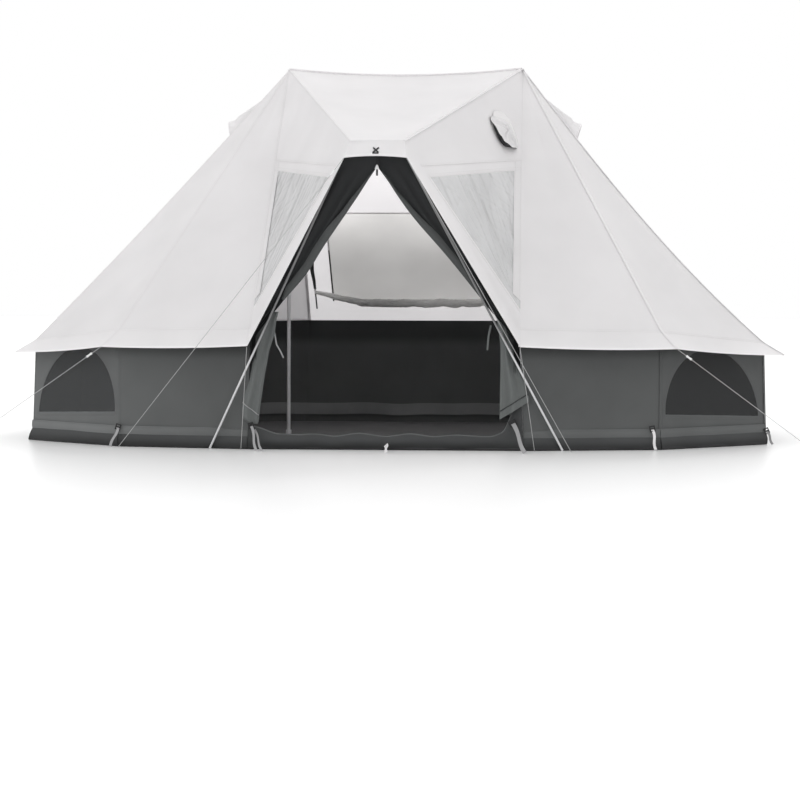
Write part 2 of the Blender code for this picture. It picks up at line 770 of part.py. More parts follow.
def wall_corners(tag):
    """One side's wall corners, from the door round to the back: feet and tops."""
    side = {"l": -1, "r": 1}[tag]
    feet = []
    tops = []
    order = [("f", 0), ("f", 1), ("f", 2), ("b", 2), ("b", 1), ("b", 0)]
    plan = (BASE_DOOR, BASE_SIDE, BASE_END)
    for end, number in order:
        way = {"f": -1, "b": 1}[end]
        reach, depth = plan[number]
        feet.append(Vector((side * reach, way * depth, 0.0)))
        key = "knee%d_%s%s" % (number, tag, end)
        tops.append(SPOTS[key] + STEPS[key] - UP * SEAM_GAP)
    return feet, tops


def wall_steps(tag, feet, tops):
    """The wall cloth's steps inward at each corner of one side."""
    normals = [
        outward([feet[i], feet[i + 1], tops[i + 1]]) for i in range(len(feet) - 1)
    ]
    back = Vector((0.0, 1.0, 0.0))
    steps = []
    for i in range(len(feet)):
        near = [normals[j] for j in (i - 1, i) if 0 <= j < len(normals)]
        if i == len(feet) - 1:
            near.append(back)
        steps.append(mitre(near, CLOTH))
    return steps, normals


def make_walls(tag):
    """The five walls of one side, with a half-moon mesh window in the front corner."""
    name = {"l": "left", "r": "right"}[tag]
    feet, tops = wall_corners(tag)
    steps, normals = wall_steps(tag, feet, tops)
    names = ["wall_front", "wall_front_corner", "wall_end", "wall_rear_corner", "wall_rear"]
    for i, word in enumerate(names):
        points = [feet[i], feet[i + 1], tops[i + 1], tops[i]]
        inward = [steps[i], steps[i + 1], steps[i + 1], steps[i]]
        if word != "wall_front_corner":
            faces = [[0, 1, 2], [0, 2, 3]]
            sheet_solid(word + "_" + name, points, faces, inward, "wall_cloth")
            continue
        along = (feet[i + 1] - feet[i]).normalized()
        up = (UP - normals[i] * UP.dot(normals[i])).normalized()
        centre = (feet[i] + feet[i + 1]) / 2 + up * MOON_FOOT
        turns = [math.pi * k / MOON_STEPS for k in range(MOON_STEPS + 1)]
        moon = circle_arc(centre, along, up, MOON_RADIUS, turns)
        faces = pierced_faces(points, moon)
        inward += [-normals[i] * CLOTH] * len(moon)
        sheet_solid(word + "_" + name, points + moon, faces, inward, "wall_cloth")
        flat_pane("moon_window_" + name, moon, normals[i], "mesh")
    return feet, tops, steps


def circle_arc(centre, side, up, radius, turns):
    """Points of an arc at the given turns."""
    return [centre + side * (radius * math.cos(t)) + up * (radius * math.sin(t)) for t in turns]


def make_back_wall(left, right):
    """The wall across the back, between the two sides."""
    points = [left[0][-1], right[0][-1], right[1][-1], left[1][-1]]
    inward = [left[2][-1], right[2][-1], right[2][-1], left[2][-1]]
    sheet_solid("wall_back", points, [[0, 1, 2], [0, 2, 3]], inward, "wall_cloth")


def make_stove_jack():
    """The heat-proof patch with the pipe hole, and the rain flap hinged above it."""
    centre, side, down, out = jack_frame()
    turns = [math.tau * i / JACK_STEPS for i in range(JACK_STEPS)]
    seat = out * SEAM_GAP
    rings = []
    for lift in (seat, seat + out * CLOTH):
        rings.append([rounded(centre + lift, side, down, JACK_PATCH_HALF, t) for t in turns])
        rings.append(circle(centre + lift, side, down, PIPE_HOLE_RADIUS, JACK_STEPS))
    order = [rings[0], rings[1], rings[3], rings[2]]
    ringed_solid("stove_patch", order, "heat_patch", closed_loop=True)

    base = centre + out * (SEAM_GAP + CLOTH)
    points = []
    steps = []
    for r in range(JACK_ROWS, 0, -1):
        share = r / JACK_ROWS
        for turn in turns:
            spot = rounded(base, side, down, JACK_FLAP_HALF, turn)
            gape = max(0.0, math.cos(turn - JACK_GAPE_TURN)) ** 2 * JACK_FLAP_GAPE
            lift = JACK_FLAP_RISE * (1 - share**2) + gape * share**2
            points.append(base + (spot - base) * share + out * lift)
            steps.append(-out * CLOTH)
    points.append(base + out * JACK_FLAP_RISE)
    steps.append(-out * CLOTH)
    faces = []
    for r in range(JACK_ROWS - 1):
        for i in range(JACK_STEPS):
            j = (i + 1) % JACK_STEPS
            start = r * JACK_STEPS
            faces.append([start + i, start + j, start + JACK_STEPS + j])
            faces.append([start + i, start + JACK_STEPS + j, start + JACK_STEPS + i])
    last = (JACK_ROWS - 1) * JACK_STEPS
    for i in range(JACK_STEPS):
        faces.append([last + i, last + (i + 1) % JACK_STEPS, len(points) - 1])
    flap = sheet_solid("stove_flap", points, faces, steps, "roof_cloth")
    hinge = base - down * JACK_FLAP_HALF[1] - out * (CLOTH / 2)
    move_origin(flap, hinge)


def leg_line(tag):
    """A door-frame leg's top, at the end of the bar, and its foot."""
    crest = SPOTS["crest_" + tag]
    hood = SPOTS["hood_" + tag]
    apex = SPOTS["apex_" + tag]
    ridge_normal = outward([SPOTS["apex_r"], SPOTS["apex_l"], SPOTS["crest_l"]])
    side_normal = outward([apex, hood, SPOTS["eave0_" + tag + "f"]])
    inset = CLOTH + LEG_RADIUS + SEAM_GAP
    edge = (apex - crest).normalized()
    rows = Matrix((ridge_normal, side_normal, edge))
    wanted = Vector((-inset - BAR_CLEARANCE, -inset, BAR_BACK + LEG_RADIUS))
    side = {"l": -1, "r": 1}[tag]
    top = crest + rows.inverted() @ wanted
    top.x -= side * LEG_TOP_IN[tag]
    foot = Vector((side * LEG_FOOT[0], -LEG_FOOT[1], 0.0))
    slope = (foot - top).normalized()
    foot.z = LEG_RADIUS * math.sqrt(1 - slope.z**2)
    return top, foot


def leg_point(tag, height):
    """A leg's centre at a height."""
    top, foot = leg_line(tag)
    return mixed(top, foot, (top.z - height) / (top.z - foot.z))


def lean(height):
    """How far the doorway's middle line leans over at a height."""
    rise = max(0.0, height - EAVE_DOOR[2])
    return HOOD_SHIFT * rise / (HOOD_HEIGHT - EAVE_DOOR[2])


def make_door_frame():
    """The two legs of the door frame, each bent over into half of the top bar."""
    middle = (leg_line("l")[0] + leg_line("r")[0]) / 2
    for name, tag in (("left", "l"), ("right", "r")):
        top, foot = leg_line(tag)
        inward = (middle - top).normalized()
        down = (foot - top).normalized()
        elbow = []
        for i in range(ELBOW_STEPS + 1):
            share = i / ELBOW_STEPS
            start = top + down * (ELBOW_RADIUS * (1 - share))
            end = top + inward * (ELBOW_RADIUS * share)
            elbow.append(mixed(start, end, share))
        route = [foot] + elbow + [middle - inward * (SEAM_GAP / 2)]
        swept_tube("frame_leg_" + name, route, [LEG_RADIUS] * len(route), LEG_SIDES, "steel")


def make_ridge_pole(tag):
    """A ridge pole in two sections: the upper one's spigot stands in the lower one's bore."""
    name = {"l": "left", "r": "right"}[tag]
    apex = SPOTS["apex_" + tag]
    centre = Vector((apex.x, apex.y, 0.0))
    base = GROUNDSHEET_THICKNESS + SEAM_GAP
    joint = POLE_JOINT_HEIGHT
    lower = [
        (0.0, base),
        (POLE_FOOT_RADIUS, base),
        (POLE_FOOT_RADIUS, base + POLE_FOOT_HEIGHT),
        (POLE_RADIUS, base + POLE_FOOT_HEIGHT + SEAM_GAP),
        (POLE_RADIUS, joint),
        (POLE_BORE + SEAM_GAP, joint),
        (POLE_BORE + SEAM_GAP, joint - POLE_SPIGOT - SEAM_GAP),
        (0.0, joint - POLE_SPIGOT - SEAM_GAP),
    ]
    pointed("pole_lower_" + name, centre, lower)
    tip = RIDGE_HEIGHT - POLE_TIP_DROP - POLE_TIP_SAG_share * END_SAG[tag]
    upper = [
        (0.0, joint - POLE_SPIGOT),
        (POLE_BORE, joint - POLE_SPIGOT),
        (POLE_BORE, joint + SEAM_GAP),
        (POLE_RADIUS, joint + SEAM_GAP),
        (POLE_RADIUS, tip - POLE_TIP_HEIGHT),
        (POLE_TIP_RADIUS, tip),
        (0.0, tip),
    ]
    pointed("pole_upper_" + name, centre, upper)


def pointed(name, centre, profile):
    """A turned solid whose profile starts and ends on the axis."""
    bm = bmesh.new()
    low = bm.verts.new(centre + UP * profile[0][1])
    high = bm.verts.new(centre + UP * profile[-1][1])
    side = Vector((1.0, 0.0, 0.0))
    front = Vector((0.0, 1.0, 0.0))
    rings = []
    for radius, height in profile[1:-1]:
        spots = circle(centre + UP * height, side, front, radius, POLE_SIDES)
        rings.append([bm.verts.new(p) for p in spots])
    for i in range(POLE_SIDES):
        j = (i + 1) % POLE_SIDES
        bm.faces.new([low, rings[0][j], rings[0][i]])
        bm.faces.new([high, rings[-1][i], rings[-1][j]])
        for a, b in zip(rings, rings[1:]):
            bm.faces.new([a[i], a[j], b[j], b[i]])
    thing = add_object(name, bm, "steel")
    thing.data.shade_smooth()
    thing.data.set_sharp_from_angle(angle=math.radians(30))


def doorway_edge(height):
    """The right wall's free edge beside the doorway, at a height."""
    feet, tops = wall_corners("r")
    normal = outward([feet[0], feet[1], tops[1]])
    edge = mixed(feet[0], tops[0], height / tops[0].z)
    edge.x -= CLOTH * abs(normal.x) + SEAM_GAP
    return edge


def under_door_side(tag, depth, height):
    """A point just under the canopy beside the doorway, at a depth and a height."""
    hood = SPOTS["hood_" + tag]
    normal = outward([SPOTS["apex_" + tag], hood, SPOTS["eave0_" + tag + "f"]])
    inset = CLOTH + SEAM_GAP
    level = normal.y * (depth - hood.y) + normal.z * (height - hood.z)
    return Vector((hood.x - (inset + level) / normal.x, depth, height))


def leaf_edges(tag, height):
    """The outer and free edges of a door leaf at a height: across and depth."""
    side = {"l": -1, "r": 1}[tag]
    knee = SPOTS["knee0_" + tag + "f"]
    if height >= knee.z:
        outer = under_door_side(tag, leg_point(tag, height).y + LEAF_BEHIND_LEG, height)
    else:
        near = under_door_side(tag, leg_point(tag, knee.z).y + LEAF_BEHIND_LEG, knee.z)
        far = doorway_edge(height)
        far.x *= side
        share = (knee.z - height) / (knee.z * LEAF_TURN_share)
        outer = mixed(near, far, min(1.0, share))
        outer.z = height
    if height >= LEAF_MEET_HEIGHT:
        free_x = 0.0
    elif height >= LEAF_TIE_HEIGHT:
        down = (LEAF_MEET_HEIGHT - height) / (LEAF_MEET_HEIGHT - LEAF_TIE_HEIGHT)
        free_x = LEAF_TIE_HALF * down
    else:
        share = (LEAF_TIE_HEIGHT - height) / (LEAF_TIE_HEIGHT - LEAF_FOOT_HEIGHT)
        free_x = mixed(LEAF_TIE_HALF, LEAF_FOOT_HALF, min(1.0, share / LEAF_TURN_share))
    free = Vector((lean(height) + side * max(free_x, SEAM_GAP), outer.y, height))
    return outer, free


def make_door_leaf(tag):
    """A door leaf in its folds: a band behind the frame's leg, then a hanging bundle."""
    name = {"l": "left", "r": "right"}[tag]
    rows = []
    steps = []
    for r in range(LEAF_ROWS):
        height = mixed(LEAF_TOP_HEIGHT, LEAF_FOOT_HEIGHT, r / (LEAF_ROWS - 1))
        outer, free = leaf_edges(tag, height)
        row = []
        for c in range(LEAF_COLUMNS):
            across = c / (LEAF_COLUMNS - 1)
            spot = mixed(outer, free, across)
            deep = LEAF_FOLD_DEPTH * (1 - math.cos(math.tau * LEAF_FOLDS * across)) / 2
            spot.y += deep * min(1.0, r / 5)
            row.append(spot)
        rows.append(row)
        steps.append([Vector((0.0, CLOTH, 0.0))] * LEAF_COLUMNS)
    grid_solid("door_leaf_" + name, rows, steps, "door_cloth")


def make_sill():
    """The wavy strip that stands across the foot of the doorway."""
    rows = []
    steps = []
    for r in range(SILL_ROWS):
        up = r / (SILL_ROWS - 1)
        edge = doorway_edge(SILL_HEIGHT * up)
        row = []
        for c in range(SILL_COLUMNS + 1):
            share = c / SILL_COLUMNS
            wave = math.sin(math.tau * SILL_WAVES * share)
            height = edge.z + SILL_TOP_WAVE * up * math.sin(math.tau * 3 * share)
            depth = edge.y + SILL_WAVE * wave * up
            row.append(Vector((mixed(-edge.x, edge.x, share), depth, height)))
        rows.append(row)
        steps.append([Vector((0.0, CLOTH, 0.0))] * (SILL_COLUMNS + 1))
    sill = grid_solid("door_sill", rows, steps, "floor_cloth")
    flatten_foot(sill)


def flatten_foot(thing):
    """Set a standing piece's lowest points exactly on the ground."""
    for vertex in thing.data.vertices:
        if vertex.co.z < SEAM_GAP:
            vertex.co.z = 0.0


def make_groundsheet(left, right):
    """The flat groundsheet inside the walls' feet."""
    outline = []
    for tag, feet in (("r", right[0]), ("l", left[0][::-1])):
        shrink = groundsheet_steps(feet)
        outline += [foot + step for foot, step in zip(feet, shrink)]
    rings = [outline, [p + UP * GROUNDSHEET_THICKNESS for p in outline]]
    ringed_solid("groundsheet", rings, "floor_cloth")


def groundsheet_steps(feet):
    """The steps from the walls' feet in to the groundsheet's corners, on the level."""
    ends = [Vector((0.0, math.copysign(1.0, foot.y), 0.0)) for foot in (feet[0], feet[-1])]
    levels = [outward([a, b, a + UP]) for a, b in zip(feet, feet[1:])]
    normals = [ends[0]] + levels + [ends[1]]
    inset = CLOTH + 2 * SEAM_GAP
    return [mitre([before, after], inset) for before, after in zip(normals, normals[1:])]


def make_zip_pull():
    """The tab that hangs from the top of the door zip, in front of the leaves."""
    top = LEAF_MEET_HEIGHT + PULL_OVERLAP
    back = min(leg_point(tag, top).y for tag in "lr") + LEAF_BEHIND_LEG - SEAM_GAP
    middle = lean(top)
    rows = []
    for r, width_share in enumerate(PULL_shares):
        height = top - PULL_LENGTH * r / (len(PULL_shares) - 1)
        half = PULL_WIDTH / 2 * width_share
        front = back - PULL_DEPTH
        rows.append([Vector((middle + end, front, height)) for end in (-half, half)])
    steps = [[Vector((0.0, PULL_DEPTH, 0.0))] * 2 for _ in rows]
    pull = grid_solid("zip_pull", rows, steps, "plastic")
    move_origin(pull, Vector((middle, back, top)))


def add_line(name, start, end):
    """A taut guyline from the tent to the ground."""
    curve = bpy.data.curves.new(name, "CURVE")
    curve.dimensions = "3D"
    curve.bevel_depth = LINE_RADIUS
    curve.bevel_resolution = 2
    curve.use_fill_caps = True
    spline = curve.splines.new("POLY")
    spline.points.add(LINE_POINTS - 1)
    for i, point in enumerate(spline.points):
        point.co = (*mixed(start, end, i / (LINE_POINTS - 1)), 1.0)
    thing = bpy.data.objects.new(name, curve)
    thing.data.materials.append(finish("cord"))
    bpy.context.scene.collection.objects.link(thing)


def line_ends(corner, end, clearance):
    """A line's ends, clear of the cloth it starts at and of the ground."""
    way = (end - corner).normalized()
    return corner + way * clearance, Vector((end.x, end.y, LINE_LIFT))


def hood_line_start(tag):
    """Where a hood line leaves the visor's corner, in front of the hem's edge."""
    side = {"l": -1, "r": 1}[tag]
    hood = SPOTS["hood_" + tag]
    door = SPOTS["eave0_" + tag + "f"]
    normal = outward([SPOTS["apex_" + tag], hood, door])
    ahead = (door - hood).normalized().cross(normal) * side
    return hood + (2 * ahead + normal).normalized() * HOOD_LINE_CLEARANCE


def add_runner(name, start, end, place):
    """A runner round a guyline, with its origin on the line."""
    way = (end - start).normalized()
    half = RUNNER_LENGTH / 2
    profile = [
        (RUNNER_BORE, -half),
        (RUNNER_RADIUS, -half),
        (RUNNER_WAIST, 0.0),
        (RUNNER_RADIUS, half),
        (RUNNER_BORE, half),
    ]
    centre = start + way * place
    runner = turned(name, centre, profile, RUNNER_SIDES, "plastic", axis=way, closed_loop=True)
    move_origin(runner, centre)


def make_guylines():
    """The hood lines, the eave lines with their runners, and the ties at the door corners."""
    for tag, side in (("left", -1), ("right", 1)):
        key = "_" + tag[0] + "f"
        hood_end = Vector(HOOD_LINE_END_LEFT if side < 0 else HOOD_LINE_END_RIGHT)
        ends = line_ends(hood_line_start(tag[0]), hood_end, 0.0)
        add_line("hood_line_" + tag, *ends)
        if side < 0:
            add_runner("hood_runner_left", *ends, HOOD_RUNNER_PLACE)
        eave_end = Vector(EAVE_LINE_END_LEFT if side < 0 else EAVE_LINE_END_RIGHT)
        ends = line_ends(SPOTS["eave1" + key], eave_end, EAVE_LINE_CLEARANCE)
        add_line("eave_line_" + tag, *ends)
        add_runner("eave_runner_" + tag, *ends, EAVE_RUNNER_PLACE)
        tie_end = Vector((side * TIE_LINE_END[0], *TIE_LINE_END[1:]))
        ends = line_ends(SPOTS["eave0" + key], tie_end, TIE_LINE_CLEARANCE)
        add_line("tie_line_" + tag, *ends)


def build_tent():
    """Make every sub-part."""
    clear_scene()
    make_ridge_panel()
    make_hood_visor()
    for tag in "lr":
        make_door_side(tag)
        make_roof_sides(tag)
        make_roof_end(tag)
        make_end_vent(tag)
        make_ridge_pole(tag)
        make_door_leaf(tag)
    make_roof_back()
    left, right = make_walls("l"), make_walls("r")
    make_back_wall(left, right)
    make_stove_jack()
    make_door_frame()
    make_sill()
    make_groundsheet(left, right)
    make_zip_pull()
    make_guylines()
    centre_tent()


def centre_tent():
    """Move the whole tent so that the middle of its plan stands on the origin."""
    forward = HOOD_REACH + HOOD_BULGE
    for thing in bpy.data.objects:
        thing.location.y += (forward - EAVE_DOOR[1]) / 2


build_tent()
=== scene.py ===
"""The looks of a two-pole hot tent with a hooded doorway, tied-back doors and short dark walls.

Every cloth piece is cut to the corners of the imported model's canopy, then given its
own folds, seams and stitches. Metres, +Z up, the door faces -Y.
"""

import json
import logging
import math
from dataclasses import dataclass, field
from enum import Enum
from typing import Callable, Iterable, Optional, Sequence, TypeVar

import bmesh
import bpy
from mathutils import Matrix, Vector, noise

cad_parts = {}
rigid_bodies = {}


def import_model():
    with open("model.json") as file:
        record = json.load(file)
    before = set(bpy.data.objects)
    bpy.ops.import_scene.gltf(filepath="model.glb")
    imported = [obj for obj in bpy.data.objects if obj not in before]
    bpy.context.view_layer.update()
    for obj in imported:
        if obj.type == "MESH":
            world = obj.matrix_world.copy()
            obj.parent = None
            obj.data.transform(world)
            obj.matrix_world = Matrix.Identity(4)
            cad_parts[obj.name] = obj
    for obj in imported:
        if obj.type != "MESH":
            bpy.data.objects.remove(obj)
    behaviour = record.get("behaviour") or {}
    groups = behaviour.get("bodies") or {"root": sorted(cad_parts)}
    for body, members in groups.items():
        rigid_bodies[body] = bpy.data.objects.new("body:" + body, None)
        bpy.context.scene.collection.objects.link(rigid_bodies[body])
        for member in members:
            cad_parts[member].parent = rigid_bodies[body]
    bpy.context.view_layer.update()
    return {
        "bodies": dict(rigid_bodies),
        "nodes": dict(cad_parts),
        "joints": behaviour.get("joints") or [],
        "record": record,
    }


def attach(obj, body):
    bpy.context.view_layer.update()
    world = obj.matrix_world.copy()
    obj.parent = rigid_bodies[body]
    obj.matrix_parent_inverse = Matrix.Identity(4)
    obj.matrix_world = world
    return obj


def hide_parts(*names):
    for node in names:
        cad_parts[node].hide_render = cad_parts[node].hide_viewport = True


Rows = Sequence[Sequence[Vector]]
Blend = TypeVar("Blend", float, Vector)

LOG = logging.getLogger("hot_tent")
UP = Vector((0.0, 0.0, 1.0))
ACROSS = Vector((1.0, 0.0, 0.0))
BACKWARD = Vector((0.0, 1.0, 0.0))
FORWARD = Vector((0.0, -1.0, 0.0))
CABIN_MIDDLE = Vector((0.0, 0.0, 1.2))
BEHIND_DOOR = Vector((0.0, 3.0, 1.0))
BODY = "tent"
SIDES = (("l", "left"), ("r", "right"))
ENDS = (("f", "front"), ("b", "rear"))
GRID = 0.045
WELD = 0.0002
SHARP_ANGLE = math.radians(50)
CANVAS = 0.0014
FILM = 0.0008
NET = 0.0006


# Sizes


@dataclass(frozen=True)
class TentSizes:
    """The canopy's and walls' driving sizes, as the CAD source has them."""

    cloth: float = 0.003
    gap: float = 0.0003
    ridge_height: float = 2.80
    ridge_half: float = 0.894
    ridge_sag: float = 0.05
    ridge_panel_sag: float = 0.03
    hood: tuple[float, float, float] = (0.2145, 2.346, 2.022)
    hood_shift: float = -0.034
    crest_shift: float = -0.026
    hood_arch: float = 0.012
    hood_bulge: float = 0.012
    crest_half: float = 0.185
    crest_height: float = 2.142
    door_corner_share: float = 0.87
    eave_door: tuple[float, float, float] = (0.948, 2.088, 0.710)
    eave_side: tuple[float, float, float] = (2.034, 1.734, 0.710)
    eave_end: tuple[float, float, float] = (2.829, 0.926, 0.648)
    knee_door_height: float = 0.850
    knee_side: tuple[float, float, float] = (1.930, 1.620, 0.830)
    knee_end: tuple[float, float, float] = (2.680, 0.895, 0.738)
    base_door: tuple[float, float] = (0.966, 1.893)
    base_side: tuple[float, float] = (1.917, 1.671)
    base_end: tuple[float, float] = (2.690, 0.930)
    window_top_share: float = 0.622
    window_foot_share: float = 0.125
    window_inner_share: float = 0.202
    end_sag_left: float = 0.018
    end_sag_right: float = 0.069
    end_window: tuple[float, float] = (0.355, 0.865)
    end_window_edges: tuple[float, float] = (0.045, 0.085)
    vent: tuple[float, float] = (0.0976, 0.2512)
    vent_half: float = 0.13
    vent_rise: float = 0.100
    vent_slant: float = 0.076
    back_window: tuple[float, float] = (0.515, 0.852)
    back_window_half: float = 0.725
    back_window_corner: float = 0.14
    roll_half: float = 0.87
    roll_radius: float = 0.034
    roll_end_radius: float = 0.013
    roll_level_share: float = 0.55
    roll_rise: float = 0.129

    @property
    def forward(self) -> float:
        """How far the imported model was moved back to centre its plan."""
        return (self.hood[1] + self.hood_bulge - self.eave_door[1]) / 2


@dataclass(frozen=True)
class Wrinkle:
    """How a stretch of cloth is creased between the edges that hold it.

    Attributes:
        depth: Height of the main folds, in metres.
        across: Folds per metre across the panel.
        along: Folds per metre down the panel.
        hollow: How far the middle of the panel hangs in.
        reach: Distance from a held edge at which the folds are at full depth.
        crease: Share of sharp creases, from 0 to 1.
        seed: Place in the noise field.
    """

    depth: float = 0.006
    across: float = 1.6
    along: float = 0.6
    hollow: float = 0.010
    reach: float = 0.22
    crease: float = 0.0
    seed: float = 0.0


class Finish(Enum):
    """The finishes, each with the record's material slot that it belongs to."""

    ROOF = "roof_cloth"
    BAND = "roof_band"
    REAR_CLOTH = "rear_cloth"
    REAR_INNER = "rear_inner"
    WALL = "wall_cloth"
    DOOR = "door_cloth"
    DOOR_INNER = "door_inner"
    DOOR_FACING = "door_facing"
    FLOOR = "floor_cloth"
    MUD_FLAP = "mud_flap"
    WALL_HEM = "wall_hem"
    RIM = "inner_rim"
    STRAP = "strap"
    MESH = "mesh"
    FILM = "clear_film"
    REAR_FILM = "rear_film"
    ROLL = "cover_roll"
    STEEL = "steel"
    POLE = "pole"
    CORD = "cord"
    PLASTIC = "plastic"
    BLACK = "black_trim"
    HEAT = "heat_patch"
    THREAD_PALE = "thread_pale"
    THREAD_DARK = "thread_dark"

    @property
    def slot(self) -> str:
        """The record's material slot nearest to this finish."""
        for slot, finishes in SLOTS.items():
            if self in finishes:
                return slot
        return self.value


SLOTS: dict[str, tuple[Finish, ...]] = {
    "roof_cloth": (Finish.BAND, Finish.REAR_CLOTH, Finish.REAR_INNER, Finish.THREAD_PALE),
    "wall_cloth": (
        Finish.WALL_HEM,
        Finish.RIM,
        Finish.STRAP,
        Finish.MUD_FLAP,
        Finish.BLACK,
        Finish.THREAD_DARK,
    ),
    "door_cloth": (Finish.DOOR_INNER, Finish.DOOR_FACING),
    "clear_film": (Finish.REAR_FILM, Finish.ROLL),
    "steel": (Finish.POLE,),
}


@dataclass(frozen=True)
class PaintedLight:
    """Painted light and shade: a colour that grows lighter or darker along an axis.

    Attributes:
        axis: X, Y or Z.
        low: Where the change starts.
        high: Where it ends.
        low_share: The colour's share up to its start.
        high_share: The colour's share past its end.
    """

    axis: str
    low: float
    high: float
    low_share: float
    high_share: float


@dataclass(frozen=True)
class Look:
    """One finish's numbers.

    Attributes:
        color: Base colour, linear.
        roughness: Surface roughness.
        metallic: Metallic share.
        weave: Weave bump strength, or 0 for none.
        mottle: Share of lighter and darker patches.
        see_through: Share of light that passes straight through.
        creases: Strength of the fine creases' bump.
        glow: Share of light that spreads through thin cloth.
        crinkle: Strength of a film's long fine creases, as bumps and as painted shade along them.
        fades: Where painted light and shade make the colour lighter or darker.
    """

    color: tuple[float, float, float]
    roughness: float = 0.85
    metallic: float = 0.0
    weave: float = 0.0
    mottle: float = 0.0
    see_through: float = 0.0
    creases: float = 0.0
    glow: float = 0.0
    crinkle: float = 0.0
    fades: tuple[PaintedLight, ...] = ()


PALE = {"roughness": 0.9, "weave": 0.2, "mottle": 0.02}
DARK = {"roughness": 0.9, "weave": 0.30, "mottle": 0.08}
COATED = {"weave": 0.15, "creases": 0.3}
LOOKS: dict[Finish, Look] = {
    Finish.ROOF: Look((0.87, 0.86, 0.865), **PALE, creases=0.10, glow=0.42),
    Finish.BAND: Look((0.90, 0.89, 0.895), **PALE, glow=0.30),
    Finish.REAR_CLOTH: Look((0.87, 0.86, 0.865), **PALE, creases=0.10, glow=0.60),
    # Darker towards the bottom and lighter towards the top: painted light through the back panel.
    Finish.REAR_INNER: Look(
        (0.90, 0.89, 0.895), **PALE, creases=0.10, glow=0.95, fades=(PaintedLight("Z", 0.9, 2.1, 0.78, 1.09),)
    ),
    Finish.WALL: Look(
        (0.076, 0.079, 0.079),
        **DARK,
        creases=0.15,
        fades=(
            # Lighter towards the foot: painted light on the lower wall.
            PaintedLight("Z", 0.08, 0.50, 1.12, 1.0),
            # Darker just under the eave: painted shadow of the eave.
            PaintedLight("Z", 0.62, 0.73, 1.0, 0.45),
            # Lighter towards the left end: painted light from the left.
            PaintedLight("X", -2.4, -1.2, 1.45, 1.0),
        ),
    ),
    # The hem is the wall's cloth drawn lighter, a painted highlight where it bulges, and it is lighter still
    # towards the left end: painted light from the left.
    Finish.WALL_HEM: Look((0.104, 0.108, 0.108), **DARK, fades=(PaintedLight("X", -2.2, -0.9, 1.45, 1.0),)),
    Finish.RIM: Look((0.20, 0.205, 0.205), 0.9, weave=0.15, mottle=0.15),
    Finish.DOOR: Look((0.016, 0.017, 0.018), **DARK),
    Finish.DOOR_INNER: Look((0.116, 0.124, 0.122), **DARK),
    Finish.DOOR_FACING: Look((0.060, 0.063, 0.063), **DARK),
    Finish.FLOOR: Look((0.085, 0.086, 0.087), 0.75, weave=0.15, mottle=0.06),
    # Darker towards the ground: painted contact shadow at the foot of the mud flaps and the sill.
    Finish.MUD_FLAP: Look(
        (0.036, 0.038, 0.039), 0.7, **COATED, mottle=0.10, fades=(PaintedLight("Z", 0.0, 0.085, 0.22, 1.0),)
    ),
    # Darker towards the right: painted shade on the right-hand mesh.
    Finish.MESH: Look(
        (0.045, 0.047, 0.048), 0.9, see_through=0.25, weave=0.2, fades=(PaintedLight("X", -0.5, 1.5, 1.0, 0.55),)
    ),
    Finish.FILM: Look((0.645, 0.645, 0.65), 0.20, see_through=0.12, mottle=0.06, glow=0.25, crinkle=0.85),
    # Darker towards the bottom and lighter towards the top: painted light through the back window.
    Finish.REAR_FILM: Look(
        (0.72, 0.712, 0.705),
        0.40,
        see_through=0.10,
        creases=0.15,
        mottle=0.05,
        glow=0.75,
        fades=(PaintedLight("Z", 1.2, 1.95, 0.76, 1.20),),
    ),
    Finish.ROLL: Look((0.86, 0.86, 0.855), 0.5, glow=0.60, creases=0.8, mottle=0.10, crinkle=0.5),
    # Darker higher up: painted shade on the upper steel parts under the canopy.
    Finish.STEEL: Look((0.66, 0.66, 0.67), 0.40, metallic=0.7, fades=(PaintedLight("Z", 0.60, 0.95, 1.0, 0.35),)),
    Finish.POLE: Look((0.85, 0.85, 0.86), 0.45, metallic=0.3),
    Finish.CORD: Look((0.38, 0.38, 0.38), 0.8),
    Finish.PLASTIC: Look((0.72, 0.72, 0.72), 0.45),
    Finish.STRAP: Look((0.30, 0.30, 0.305), 0.8, weave=0.3),
    Finish.BLACK: Look((0.012, 0.012, 0.013), 0.6, weave=0.2),
    Finish.HEAT: Look((0.64, 0.63, 0.63), 0.8, weave=0.3, mottle=0.05),
    Finish.THREAD_PALE: Look((0.74, 0.73, 0.73), 0.8),
    Finish.THREAD_DARK: Look((0.13, 0.13, 0.135), 0.8),
}


# Materials


class NodeMaker:
    """Adds nodes to a tree, each with its settings, values and links."""

    def __init__(self, tree: bpy.types.NodeTree) -> None:
        """Keeps the tree.

        Args:
            tree: The tree that the nodes go into.
        """
        self.tree = tree

    def add(self, kind: str, values: Optional[dict] = None, **settings) -> bpy.types.Node:
        """Adds a node.

        Args:
            kind: The node's type.
            values: What its inputs get: a socket is linked, and anything else is set.
            settings: The node's own properties.

        Returns:
            The node.
        """
        node = self.tree.nodes.new(kind)
        for name, value in settings.items():
            setattr(node, name, value)
        for key, value in (values or {}).items():
            if isinstance(value, bpy.types.NodeSocket):
                self.tree.links.new(value, node.inputs[key])
            else:
                node.inputs[key].default_value = value
        return node

    def ranged(
        self,
        value: bpy.types.NodeSocket,
        source: tuple[float, float],
        target: tuple[float, float],
        kind: str = "LINEAR",
    ) -> bpy.types.NodeSocket:
        """A value moved from one range to another.

        Args:
            value: The value's socket.
            source: The range that it comes from.
            target: The range that it goes to.
            kind: How it moves between the two ends.

        Returns:
            The new value's socket.
        """
        values = {
            "Value": value,
            "From Min": source[0],
            "From Max": source[1],
            "To Min": target[0],
            "To Max": target[1],
        }
        return self.add("ShaderNodeMapRange", values, interpolation_type=kind).outputs["Result"]


